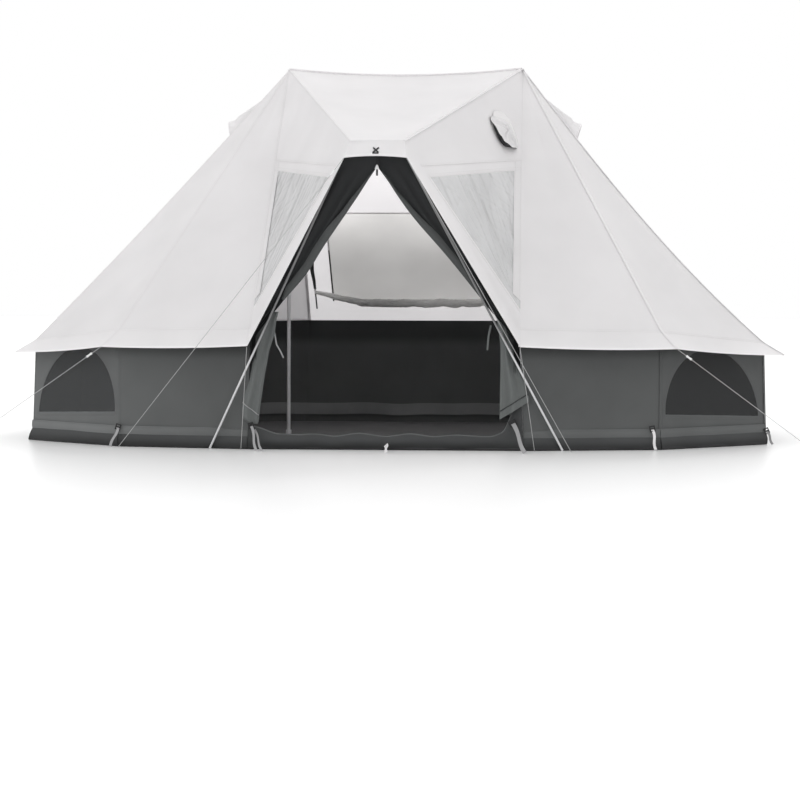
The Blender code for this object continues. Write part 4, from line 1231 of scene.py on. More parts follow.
    def _seams(self, tag: str, name: str) -> None:
        """The sewn seams that run down from the apex."""
        apex = "apex_" + tag
        door, end = self.c.door_out(tag), self.c.end_out(tag)
        front = {}
        corner = {}
        for way, _ in ENDS:
            key = "_" + tag + way
            front[way] = self.c.facing(apex, "knee0" + key, "knee1" + key)
            corner[way] = self.c.facing(apex, "knee1" + key, "knee2" + key)
        self._seam("hood_" + name, [self.c[apex], self.c["crest_" + tag]], (self.c.top_out(), door))
        runs = (
            ("door", "0", "f", (door, front["f"])),
            ("front", "1", "f", (front["f"], corner["f"])),
            ("end_front", "2", "f", (corner["f"], end)),
            ("end_rear", "2", "b", (end, corner["b"])),
            ("rear", "1", "b", (corner["b"], front["b"])),
            ("back", "0", "b", (front["b"], self.c.back_out())),
        )
        for word, number, way, normals in runs:
            key = number + "_" + tag + way
            path = [self.c[apex], self.c["knee" + key], self.c["eave" + key]]
            if number == "2":
                path = self.c.end_seam(tag, way) + path[2:]
            self._seam(word + "_" + name, path, normals)

    def _seam(self, word: str, path: Sequence[Vector], normals: tuple[Vector, Vector]) -> None:
        """One long seam."""
        spots = resampled(path, max(6, round(length_of(path) / self.stitch_step)))
        self.tape("seam_" + word, spots, normals, self.seam_tape, Finish.ROOF)


@dataclass
class DoorSides(Assembly):
    """The panels beside the hood, with their clear windows and the stove jack.

    Attributes:
        seam_tape: Width of the seams at a window's head and side.
        band_tape: Width of the seam over a window.
        band_shares: How far over the window that seam lies, at its outer and inner ends.
        margin: Width of the cloth lapped over the window's outer edge.
    """

    seam_tape: float = 0.03
    band_tape: float = 0.016
    band_shares: tuple[float, float] = (0.085, 0.30)
    margin: float = 0.090

    def build(self) -> None:
        """Makes both sides."""
        for tag, name in SIDES:
            self._panel(tag, name)
            self._window(tag, name)

    def _panel(self, tag: str, name: str) -> None:
        """The panel over the window, pierced for the stove pipe on the right."""
        outline = [self.c[key + tag] for key in ("apex_", "crest_", "window_inner_", "window_top_")]
        pierced = tag == "r"
        if pierced:
            rows = ring_rows(JackPlace(self.c).hole(), outline, 0.05, 24)
        else:
            count = round((outline[3] - outline[2]).length / GRID) + 1
            rows = ruled_rows(resampled(outline[:2], count), resampled(outline[:1:-1], count), 22)
        wrinkle = Wrinkle(0.007, 2.6, 1.4, 0.010, 0.22, 0.2, 11.0 if pierced else 17.0)
        crease = (wrinkle, [closed(outline)])
        nodes = ["roof_door_" + name]
        self.cloth("door_cloth_" + name, Finish.ROOF, rows, loop=pierced, crease=crease, nodes=nodes)

    def _window(self, tag: str, name: str) -> None:
        """The crinkled clear window and its bindings."""
        top, inner, foot = [self.c[f"window_{word}_{tag}"] for word in ("top", "inner", "foot")]
        rows = fan_rows(foot, resampled([top, inner], 60), 90)
        wrinkle = Wrinkle(0.010, 7.0, 1.6, 0.006, 0.12, 0.75, 5.0)
        if tag == "l":
            wrinkle = Wrinkle(0.006, 3.4, 1.2, 0.010, 0.15, 0.4, 8.0)
        crease = (wrinkle, [[top, inner], [inner, foot], [foot, top]], foot)
        nodes = ["clear_window_" + name]
        self.cloth("window_film_" + name, Finish.FILM, rows, thickness=FILM, crease=crease, nodes=nodes)
        out = self.c.door_out(tag)
        outer_share, inner_share = self.band_shares
        upper = [mix(top, self.c["apex_" + tag], outer_share)]
        upper.append(mix(inner, self.c["crest_" + tag], inner_share))
        inward = out.cross(top - foot).normalized()
        if inward.dot(inner - top) < 0:
            inward = -inward
        beside = [p + inward * (self.margin / 2) for p in resampled([top, mix(top, foot, 0.93)], 40)]
        for word, path, width in (
            ("head", resampled([top, inner], 30), self.seam_tape),
            ("side", resampled([inner, foot], 30), self.seam_tape),
            ("band", resampled(upper, 30), self.band_tape),
            ("margin", beside, self.margin),
        ):
            self.tape(f"window_{word}_{name}", path, (out, out), width, Finish.ROOF)


class JackPlace:
    """Where the stove jack sits on the right door panel."""

    APEX_SHARE = 0.666
    HOOD_SHARE = 0.156
    HOLE_RADIUS = 0.075
    FLAP_HALF = (0.155, 0.142)
    FLAP_SHIFT = (-0.052, 0.035)
    SKEW = 0.012
    SQUARENESS = 0.6

    def __init__(self, corners: Corners) -> None:
        """Finds the jack's centre and directions.

        Args:
            corners: The canopy's corners.
        """
        apex, hood, door = corners["apex_r"], corners["hood_r"], corners["eave0_rf"]
        rest = 1 - self.APEX_SHARE - self.HOOD_SHARE
        self.centre = apex * self.APEX_SHARE + hood * self.HOOD_SHARE + door * rest
        self.out = corners.door_out("r")
        self.down = (-UP - self.out * (-UP).dot(self.out)).normalized()
        self.side = self.out.cross(self.down).normalized()

    def hole(self) -> list[Vector]:
        """The round hole in the panel under the flap."""
        turns = [math.tau * i / 32 for i in range(32)]
        spokes = [self.side * math.cos(turn) + self.down * math.sin(turn) for turn in turns]
        return [self.centre + spoke * self.HOLE_RADIUS for spoke in spokes]

    def skewed(self, turn: float, share: float, lift: float) -> Vector:
        """A point on the rain flap, whose outline leans over to the left."""
        parts = (math.cos(turn), math.sin(turn))
        across, along = [math.copysign(abs(p) ** self.SQUARENESS, p) * share for p in parts]
        lean = self.SKEW * (share + across) * (share - along) / max(share, 0.02)
        aside = self.FLAP_HALF[0] * across + self.FLAP_SHIFT[0]
        below = self.FLAP_HALF[1] * along + self.FLAP_SHIFT[1] + lean
        return self.centre + self.side * aside + self.down * below + self.out * lift


@dataclass
class StoveJack(Assembly):
    """The rain flap over the stove jack; the heat-proof patch is the CAD piece.

    Attributes:
        dome: How far the flap's middle stands off the panel.
        gape: How far its open corner stands off.
        gape_turn: Where that corner is round the flap.
        edge_lift: How far its edge stands off.
        lining_share: Where the black skirt of painted shadow under it turns in.
    """

    dome: float = 0.034
    gape: float = 0.050
    gape_turn: float = 2.3
    edge_lift: float = 0.0034
    lining_share: float = 0.90

    def build(self) -> None:
        """Makes the crumpled flap and the closed black skirt of painted shadow under it."""
        place = JackPlace(self.c)
        turns = [math.tau * i / 96 for i in range(96)]
        shares = [max(r / 26, 0.02) for r in range(26, -1, -1)]
        rows = [[place.skewed(turn, share, self._lift(turn, share)) for turn in turns] for share in shares]
        settled = {"loop": True, "away_from": place.centre - place.out, "body": "stove_flap"}
        nodes, panel = ["stove_flap"], ["roof_door_right"]
        self.cloth("flap_cloth", Finish.ROOF, rows, nodes=nodes, rests_on=panel, **settled)
        # A closed black skirt under the flap: painted shadow in the gap beneath the flap's edge.
        rim = [p - place.out * 0.002 for p in rows[0]]
        skirt = ruled_rows(rim, [place.skewed(turn, self.lining_share, 0.004) for turn in turns], 5)
        for k in range(1, 6):
            share = mix(self.lining_share, 0.02, k / 5)
            skirt.append([place.skewed(turn, share, 0.0045) for turn in turns])
        self.cloth("flap_lining", Finish.BLACK, skirt, rests_on=["flap_cloth"], **settled)

    def _lift(self, turn: float, share: float) -> float:
        """How far the flap stands off the panel at a place round it and out from its middle."""
        gape = max(0.0, math.cos(turn - self.gape_turn)) ** 2 * self.gape
        lift = self.dome * (1 - share**2) + gape * share**2 + self.edge_lift
        ripple = wave(math.cos(turn) * 1.6, math.sin(turn) * 1.6, share * 2.4)
        crease = abs(wave(math.cos(turn) * 3.1, math.sin(turn) * 3.1, 4 + share * 2))
        free = smooth((lift - 0.004) / 0.03)
        return lift + free * (0.012 * ripple - 0.014 * crease)


@dataclass
class EndPanels(Assembly):
    """The end panels with their mesh windows, and the vents over them.

    Attributes:
        eave_dip: How far the eave hangs.
        tape_width: Width of the window's bindings and the seam over the wall.
        brim_width: Width of the vent's stiff brim.
        brim_share: How far down the vent its brim's crease is.
        grille: The vent's mesh: each edge's share of the way down, and its half width.
    """

    eave_dip: float = 0.012
    tape_width: float = 0.022
    brim_width: float = 0.012
    brim_share: float = 0.82
    grille: tuple[tuple[float, float], ...] = ((0.25, 0.03), (0.80, 0.09))

    def build(self) -> None:
        """Makes both ends."""
        for tag, name in SIDES:
            self._panel(tag, name)
            self._vent(tag, name)

    def _middle(self, tag: str, share: float) -> Vector:
        """The middle of the flat end panel at a share of the way down."""
        knee = (self.c["knee2_" + tag + "f"] + self.c["knee2_" + tag + "b"]) / 2
        return mix(self.c["apex_" + tag], knee, share)

    def _hole(self, tag: str) -> list[Vector]:
        """The mesh window's corners in the flat panel."""
        sizes = self.c.sizes
        corners = []
        for share, edge, signs in zip(sizes.end_window, sizes.end_window_edges, ((-1, 1), (1, -1))):
            half = sizes.knee_end[1] * share - edge
            corners += [self._middle(tag, share) + BACKWARD * (sign * half) for sign in signs]
        return corners

    def _panel(self, tag: str, name: str) -> None:
        """The panel, its mesh and its bindings."""

        def hang(rows: Rows) -> list[list[Vector]]:
            """The flat panel's rows, moved to where it hangs."""
            return [[self.c.on_end(tag, p) for p in row] for row in rows]

        knees = [self.c["knee2_" + tag + end] for end in "fb"]
        eaves = [self.c["eave2_" + tag + end] for end in "fb"]
        hole = self._hole(tag)
        knee_line, eave_line = resampled(knees, 40), dipped_line(eaves, 40, self.eave_dip)
        rows = hang(ring_rows(hole, [self.c["apex_" + tag], *knees], 0.05, 10))
        band = ruled_rows(knee_line, eave_line, 5)
        rim = hang([resampled(closed(hole), 60)])[0]
        seams = [self.c.end_seam(tag, end, 12) for end in "fb"]
        crease = (Wrinkle(0.004, 2.0, 1.0, 0.0, 0.12, 0.1, 21.0), seams + [rim, knees, eaves])
        nodes = ["roof_end_" + name]
        self.cloth("end_cloth_" + name, Finish.ROOF, rows, band, loop=True, crease=crease, nodes=nodes)
        net = hang(ruled_rows(resampled(hole[:2], 40), resampled([hole[3], hole[2]], 40), 40))
        crease = (Wrinkle(0.006, 1.5, 1.2, 0.012, 0.25, 0.2, 23.0), [rim])
        nodes = ["end_window_" + name]
        self.cloth("end_mesh_" + name, Finish.MESH, net, thickness=NET, crease=crease, nodes=nodes)
        out = self.c.end_out(tag)
        flare = self.c.facing("knee2_" + tag + "f", "eave2_" + tag + "f", "eave2_" + tag + "b")
        for i, side in enumerate(sides_of(hole)):
            edge = hang([resampled(side, 24)])[0]
            self.tape(f"end_binding_{i}_{name}", edge, (out, out), self.tape_width, Finish.ROOF)
        self.tape("knee_tape_end_" + name, knee_line, (out, flare), self.tape_width, Finish.ROOF)
        self.eave_hem("end_" + name, eave_line, knee_line, flare)

    def _vent(self, tag: str, name: str) -> None:
        """The vent's cloth hood, with its stiff brim and the mesh behind it."""
        sizes = self.c.sizes
        top, mouth = [self.c.on_end(tag, self._middle(tag, share)) for share in sizes.vent]
        slope = (mouth - top).normalized()
        out = BACKWARD.cross(slope).normalized()
        if out.dot(self.c.end_out(tag)) < 0:
            out = -out

        def spot(down: float, around: float) -> Vector:
            """A point of the hood, half a cone that opens downwards."""
            share, turn = mix(0.05, 1.0, down), math.pi * around
            up = math.sin(turn)
            dip = 0.012 * math.exp(-(((share - self.brim_share) / 0.08) ** 2))
            reach = BACKWARD * (math.cos(turn) * sizes.vent_half) + out * (up * sizes.vent_rise)
            reach -= slope * (up * sizes.vent_slant * share)
            ripple = 0.004 * wave(turn * 1.3, share * 5, 2.0) * up - dip * up
            return mix(top, mouth, share) + out * 0.0006 + reach * share + out * ripple

        rows = grid_rows(30, 24, spot)
        away = mouth - out * 2
        self.cloth("vent_cloth_" + name, Finish.ROOF, rows, away_from=away, nodes=["end_vent_" + name])
        lip = [mix(a, b, 0.06) + out * 0.0004 for a, b in zip(rows[-1], rows[-4])]
        self.tape("vent_brim_" + name, lip, (out, out), self.brim_width, Finish.BAND, sewn=False)
        edges = []
        for share, half in self.grille:
            middle = mix(top, mouth, share) + out * 0.002
            edges.append(resampled([middle + BACKWARD * half, middle - BACKWARD * half], 6))
        net = ruled_rows(*edges, 8)
        self.cloth("vent_mesh_" + name, Finish.BLACK, net, thickness=NET, held=None)


@dataclass
class BackPanel(Assembly):
    """The back panel, its window and the cover rolled along the window's foot.

    Attributes:
        eave_dip: How far the eave hangs.
        binding: Width of the window's binding.
        zip_width: Width of the zips beside the window.
        zip_length: Their length up the window.
        strap_widths: Half width of the cover's straps, at the top and where they meet the roll.
        strap_top: How far over the window's foot the straps start.
        tail: Width of the straps' tails, and their length under the window's foot.
    """

    eave_dip: float = 0.010
    binding: float = 0.014
    zip_width: float = 0.010
    zip_length: float = 0.58
    strap_widths: tuple[float, float] = (0.044, 0.020)
    strap_top: float = 0.56
    tail: tuple[float, float] = (0.012, 0.10)

    def build(self) -> None:
        """Makes the back."""
        outline, slope = self._window_outline()
        ridge = [self.c.ridge(i / 16) for i in range(17)]
        knees = [self.c["knee0_rb"], self.c["knee0_lb"]]
        eaves = [self.c["eave0_rb"], self.c["eave0_lb"]]
        knee_line, eave_line = resampled(knees, 40), dipped_line(eaves, 40, self.eave_dip)
        rows = ring_rows(outline, ridge + knees, 0.06, 16)
        band = ruled_rows(knee_line, eave_line, 5)
        held = [ridge, [ridge[-1], knees[0]], [ridge[0], knees[1]], closed(outline), knees, eaves]
        self.cloth(
            "back_cloth",
            Finish.REAR_CLOTH,
            rows,
            band,
            loop=True,
            crease=(Wrinkle(0.007, 1.6, 1.2, 0.010, 0.22, 0.1, 31.0), held),
            inner=Finish.REAR_INNER,
            nodes=["roof_back"],
        )
        out = self.c.back_out()
        self._pane(outline)
        self._roll(outline, slope, out)
        edge = resampled(closed(outline), 120)
        self.tape("back_binding", edge, (out, out), self.binding, Finish.REAR_CLOTH)
        low = (outline[0] + outline[1]) / 2
        for side, word in ((-1, "left"), (1, "right")):
            self._holders(low, slope, out, side, word)
        self.eave_hem("back", eave_line, knee_line, out)

    def _holders(self, low: Vector, slope: Vector, out: Vector, side: int, word: str) -> None:
        """The zip beside the window, and the strap that holds its cover."""
        sizes = self.c.sizes
        inward = (-out, -out)
        foot = low + ACROSS * (side * sizes.back_window_half) - out * 0.005
        line = resampled([foot - slope * self.zip_length, foot + slope * 0.01], 30)
        self.tape("back_zip_" + word, line, inward, self.zip_width, Finish.WALL, sewn=False)
        foot = low + ACROSS * (side * sizes.roll_half) - out * 0.006
        rows = []
        for i in range(31):
            share = i / 30
            wide = mix(*self.strap_widths, share)
            centre = foot - slope * mix(self.strap_top, sizes.roll_rise, share)
            drift = 0.006 * math.sin(share * 9) * (1 - share)
            rows.append([centre + ACROSS * (side * (wide * k / 4 - 0.01) + drift) for k in range(5)])
        held = {"away_from": BACKWARD * 9.0, "held": "hung", "rests_on": ["roof_back"]}
        self.cloth("cover_strap_" + word, Finish.DOOR_INNER, rows, **held)
        width, length = self.tail
        line = resampled([foot - slope * sizes.roll_rise, foot + slope * length], 12)
        self.tape("cover_tail_" + word, line, inward, width, Finish.DOOR_INNER, sewn=False)

    def _window_outline(self) -> tuple[list[Vector], Vector]:
        """The window's corners, rounded at the top, and the way down the slope."""
        apex = (self.c["apex_l"] + self.c["apex_r"]) / 2
        foot = (self.c["eave0_lb"] + self.c["eave0_rb"]) / 2
        slope = (foot - apex).normalized()
        top, low = [mix(apex, foot, share) for share in self.c.sizes.back_window]
        half, corner = self.c.sizes.back_window_half, self.c.sizes.back_window_corner
        outline = [low - ACROSS * half, low + ACROSS * half]
        for sign in (1, -1):
            centre = top + slope * corner + ACROSS * (sign * (half - corner))
            turns = [math.pi / 2 * i / 5 for i in range(6)]
            arc = [centre + (ACROSS * (sign * math.cos(t)) - slope * math.sin(t)) * corner for t in turns]
            outline += arc[::sign]
        return outline, slope

    def _pane(self, outline: Sequence[Vector]) -> None:
        """The window's cloudy film."""
        centre = sum(outline, Vector()) / len(outline)
        edge = resampled(closed(outline), 121)[:-1]
        rows = [[mix(p, centre, r / 24) for p in edge] for r in range(25)]
        crease = (Wrinkle(0.008, 2.6, 1.4, 0.010, 0.2, 0.3, 37.0), [closed(outline)])
        nodes = ["back_window"]
        self.cloth("back_film", Finish.REAR_FILM, rows, loop=True, thickness=FILM, crease=crease, nodes=nodes)

    def _roll(self, outline: Sequence[Vector], slope: Vector, out: Vector) -> None:
        """The window's cover, rolled up and sagging inside."""
        sizes = self.c.sizes
        middle = (outline[0] + outline[1]) / 2 - out * (sizes.cloth + sizes.roll_radius + sizes.gap)
        rows = []
        for i in range(151):
            along = 2 * i / 150 - 1
            past = max(0.0, (abs(along) - sizes.roll_level_share) / (1 - sizes.roll_level_share))
            bunch = 0.010 * wave(along * 7.0, 4.0, 1.0) * (1 - past)
            centre = middle + Vector((along * sizes.roll_half, 0.0, bunch)) - slope * (sizes.roll_rise * past)
            radius = mix(sizes.roll_radius, sizes.roll_end_radius, past) * 0.94
            radius *= 1 + 0.26 * wave(along * 9.0, 2.0, 7.0)
            row = []
            for k in range(28):
                turn = math.tau * k / 28
                twist = turn + along * 5.0
                ripple = wave(math.cos(twist) * 1.4, math.sin(twist) * 1.4, along * 9)
                fold = abs(wave(math.cos(twist) * 2.4, math.sin(twist) * 2.4, 9 + along * 16))
                swell = 1 + 0.20 * ripple - 0.50 * fold
                row.append(centre + (UP * math.cos(turn) + BACKWARD * math.sin(turn)) * radius * swell)
            rows.append(row)
        for place in (0, len(rows) + 1):
            end = rows[0] if place == 0 else rows[-1]
            middle = sum(end, Vector()) / len(end)
            rows.insert(place, [middle.copy() for _ in end])
        roll = self.cloth(
            "back_roll",
            Finish.ROLL,
            rows,
            loop=True,
            thickness=0.002,
            away_from=BACKWARD * 1.9,
            nodes=["back_window_roll"],
            held=None,
        )


@dataclass
class Walls(Assembly):
    """The dark walls, their half-moon mesh windows and the mud flap.

    Attributes:
        hem_top: Height of the wall hem's top edge.
        hem_foot: Height of its lower edge.
        moon_half: Half width of a half-moon window.
        moon_rise: Its height.
        moon_level: Height of its straight edge.
        moon_tilt: How far that edge rises towards the end.
        moon_tape: Width of its bindings.
        seam_tape: Width of the seams between the walls.
        rim: Height and width of the groundsheet's rim.
        flap_foot: Width of the black strip of painted contact shadow at the mud flap's foot.
        wide_spread: How far the flap spreads at the left end.
        narrow_spread: How far it spreads elsewhere.
    """

    hem_top: float = 0.148
    hem_foot: float = 0.086
    moon_half: float = 0.485
    moon_rise: float = 0.495
    moon_level: float = 0.215
    moon_tilt: float = 0.019
    moon_tape: float = 0.026
    seam_tape: float = 0.024
    rim: tuple[float, float] = (0.110, 0.095)
    flap_foot: float = 0.018
    wide_spread: float = 0.040
    narrow_spread: float = 0.012

    def build(self) -> None:
        """Makes both sides' walls and the back wall."""
        order = (("f", 0), ("f", 1), ("f", 2), ("b", 2), ("b", 1), ("b", 0))
        words = ("wall_front", "wall_front_corner", "wall_end", "wall_rear_corner", "wall_rear")
        for tag, name in SIDES:
            feet = [self.c[f"base{n}_{tag}{end}"] for end, n in order]
            tops = [self.c[f"knee{n}_{tag}{end}"] - UP * 0.004 for end, n in order]
            tops = [mix(t, Vector((0.0, self.c.sizes.forward, t.z)), 0.0015) for t in tops]
            for i, word in enumerate(words):
                moon = word == "wall_front_corner"
                self._wall(word + "_" + name, feet[i : i + 2], tops[i : i + 2], moon)
            for i in range(1, 5):
                before = self._out(feet[i - 1], feet[i], tops[i])
                after = self._out(feet[i], feet[i + 1], tops[i + 1])
                path = resampled([tops[i], feet[i]], 16)
                self.tape(f"wall_seam_{i}_{name}", path, (before, after), self.seam_tape, Finish.WALL)
        feet = [self.c["base0_rb"], self.c["base0_lb"]]
        tops = [self.c["knee0_rb"] - UP * 0.004, self.c["knee0_lb"] - UP * 0.004]
        self._wall("wall_back", feet, tops, False)

    def _out(self, a: Vector, b: Vector, c: Vector) -> Vector:
        """The outward normal of a wall."""
        normal = normal_of([a, b, c])
        return normal if normal.dot(a - Vector((0.0, self.c.sizes.forward, a.z))) > 0 else -normal

    def _wall(self, node: str, feet: Sequence[Vector], tops: Sequence[Vector], moon: bool) -> None:
        """One wall, its mesh window if it has one, and its mud flap."""
        out = self._out(feet[0], feet[1], tops[1])
        held = [tops, feet, [feet[0], tops[0]], [feet[1], tops[1]], [p + UP * 0.10 for p in feet]]
        if moon:
            hole = self._moon(feet, out)
            rows = ring_rows(hole, [feet[0], feet[1], tops[1], tops[0]], 0.04, 14)
            held.append(closed(hole))
        else:
            columns = round((feet[1] - feet[0]).length / 0.03) + 1
            rows = ruled_rows(resampled(tops, columns), resampled(feet, columns), 26)
        crease = (Wrinkle(0.009, 4.2, 1.1, 0.004, 0.14, 0.35, hash_of(node)), held)
        self.cloth(node + "_cloth", Finish.WALL, rows, loop=moon, crease=crease, nodes=[node])
        if moon:
            self._window(node, feet, out)
        self._mud_flap(node, feet, out)
        if "rear" in node or "back" in node:
            self._rim(node, feet, out)

    def _moon(self, feet: Sequence[Vector], out: Vector) -> list[Vector]:
        """The half-moon's edge."""
        along = (feet[1] - feet[0]).normalized()
        up = (UP - out * UP.dot(out)).normalized()
        centre = (feet[0] + feet[1]) / 2 + up * self.moon_level
        edge = []
        for k in range(33):
            across, rise = math.cos(math.pi * k / 32), math.sin(math.pi * k / 32)
            height = self.moon_rise * rise - self.moon_tilt * across
            edge.append(centre + along * (self.moon_half * across) + up * height)
        return edge

    def _window(self, node: str, feet: Sequence[Vector], out: Vector) -> None:
        """The half-moon's mesh and its bindings."""
        name = node.rsplit("_", 1)[1]
        edge = self._moon(feet, out)
        up = (UP - out * UP.dot(out)).normalized()
        middle = (edge[0] + edge[-1]) / 2 + up * 0.2
        loop = edge + resampled([edge[-1], edge[0]], 20)[1:-1]
        rows = [[mix(p, middle, r / 14) for p in loop] for r in range(15)]
        crease = (Wrinkle(0.004, 3.0, 1.5, 0.004, 0.12, 0.2, 41.0), [closed(loop)])
        nodes = ["moon_window_" + name]
        self.cloth(
            "moon_mesh_" + name, Finish.MESH, rows, loop=True, thickness=NET, crease=crease, nodes=nodes
        )
        sill = resampled([edge[0], edge[-1]], 20)
        self.tape("moon_binding_" + name, edge, (out, out), self.moon_tape, Finish.WALL)
        self.tape("moon_sill_" + name, sill, (out, out), self.moon_tape, Finish.WALL)

    def _mud_flap(self, node: str, feet: Sequence[Vector], out: Vector) -> None:
        """The wall's turned hem and the coated strip under it, which spreads on the ground."""
        line = resampled(feet, 60)
        rows = [[self._hem_spot(p, r / 8, out) for p in line] for r in range(9)]
        settled = {"rests_on": [node]}
        self.cloth("wall_hem_" + node, Finish.WALL_HEM, rows, thickness=0.001, **settled)
        self.sew([p + out * 0.0012 for p in rows[1]], out, True)
        level = Vector((out.x, out.y, 0.0)).normalized()
        rows = [[p + self._flap_step(node, p, s, r / 10, level) for p, s in spread(line)] for r in range(11)]
        self.cloth("mud_flap_" + node, Finish.MUD_FLAP, rows, thickness=0.0012, **settled)
        # On the front right walls, a black strip along the flap's foot: painted contact shadow.
        if node.startswith("wall_front") and node.endswith("_right"):
            foot = [p + level * 0.002 + UP * (0.011 + 0.008 * abs(self._wave(p, 11.0))) for p in rows[-1]]
            self.tape("flap_foot_" + node, foot, (level, level), self.flap_foot, Finish.BLACK, sewn=False)

    def _hem_spot(self, p: Vector, down: float, out: Vector) -> Vector:
        """A point of the hem over a place at the wall's foot."""
        height = mix(self.hem_top, self.hem_foot, down) + self._wave(p, 5.0) * 0.004 * down
        swell = 0.0035 + 0.004 * math.sin(math.pi * down) + 0.002 * self._wave(p, 3.0)
        return p + UP * height + out * swell

    def _flap_step(self, node: str, p: Vector, share: float, down: float, level: Vector) -> Vector:
        """How far the mud flap is from a place at the wall's foot."""
        left_end = node in ("wall_front_corner_left", "wall_end_left", "wall_rear_corner_left")
        spreading = self.wide_spread if left_end else self.narrow_spread
        end = smooth(share) if node == "wall_front_corner_left" else 1.0
        height = (self.hem_foot + 0.006) * (1 - down)
        puff = 0.010 * math.sin(math.pi * down) * (1 + self._wave(p, 4.0))
        apart = spreading * end * down**1.5 * (1 + 0.7 * self._wave(p, 2.5)) + puff
        return level * (0.003 + max(apart, 0.0)) + UP * max(height, 0.0016)

    def _rim(self, node: str, feet: Sequence[Vector], out: Vector) -> None:
        """The groundsheet's raised rim, seen inside along a rear wall."""
        height, width = self.rim
        line = [p - out * 0.012 + UP * height for p in resampled(feet, 40)]
        for p in line:
            p.z += 0.012 * self._wave(p, 3.0)
        self.tape("inner_rim_" + node, line, (-out, -out), width, Finish.RIM, sewn=False)

    @staticmethod
    def _wave(p: Vector, rate: float) -> float:
        """A slow wave along a wall, from -1 to 1."""
        return wave(p.x * rate, p.y * rate, rate)


@dataclass(frozen=True)
class Bundle:
    """A tied-back leaf's foot, by places across and up in the doorway's plane.

    Attributes:
        outer: Its outer edge from the tie down.
        inner: Its free edge from the tie down.
        hem_outer: The hem's outer edge.
        hem_inner: The hem's free edge.
        tie: The hanging tie's route.
        tie_width: The tie's width.
        depth: Where its back is, along Y from the ridge.
        folds: How many folds it has.
        phase: Where they start.
        piping: The finish of the line along its hem.
        tie_finish: The tie's finish.
    """

    outer: tuple
    inner: tuple
    hem_outer: tuple
    hem_inner: tuple
    tie: tuple
    tie_width: float
    depth: float
    folds: float
    phase: float
    piping: Finish
    tie_finish: Finish


BUNDLES = {
    "left": Bundle(
        outer=(
            (-0.824, 0.964),
            (-0.866, 0.908),
            (-0.901, 0.803),
            (-0.923, 0.698),
            (-0.951, 0.523),
            (-0.998, 0.330),
        ),
        inner=(
            (-0.747, 0.964),
            (-0.761, 0.908),
            (-0.775, 0.803),
            (-0.810, 0.698),
            (-0.842, 0.523),
            (-0.883, 0.240),
        ),
        hem_outer=((-0.998, 0.330), (-1.006, 0.277), (-1.003, 0.221), (-0.958, 0.183)),
        hem_inner=((-0.883, 0.240), (-0.880, 0.225), (-0.884, 0.205), (-0.892, 0.180)),
        tie=((-0.779, 0.850), (-0.779, 0.831), (-0.761, 0.733), (-0.735, 0.690), (-0.712, 0.642)),
        tie_width=0.010,
        depth=-1.905,
        folds=1.3,
        phase=-2.0,
        piping=Finish.STRAP,
        tie_finish=Finish.STRAP,
    ),
    "right": Bundle(
        outer=(
            (0.810, 0.960),
            (0.850, 0.830),
            (0.885, 0.720),
            (0.925, 0.600),
            (0.972, 0.490),
            (0.994, 0.396),
        ),
        inner=(
            (0.772, 0.960),
            (0.796, 0.810),
            (0.806, 0.720),
            (0.806, 0.560),
            (0.803, 0.430),
            (0.801, 0.276),
        ),
        hem_outer=((0.994, 0.396), (1.004, 0.375), (1.006, 0.345)),
        hem_inner=((0.801, 0.276), (0.800, 0.245), (0.800, 0.218)),
        tie=((0.738, 0.875), (0.722, 0.800), (0.714, 0.701)),
        tie_width=0.014,
        depth=-1.905,
        folds=1.6,
        phase=0.9,
        piping=Finish.MUD_FLAP,
        tie_finish=Finish.DOOR_INNER,
    ),
}


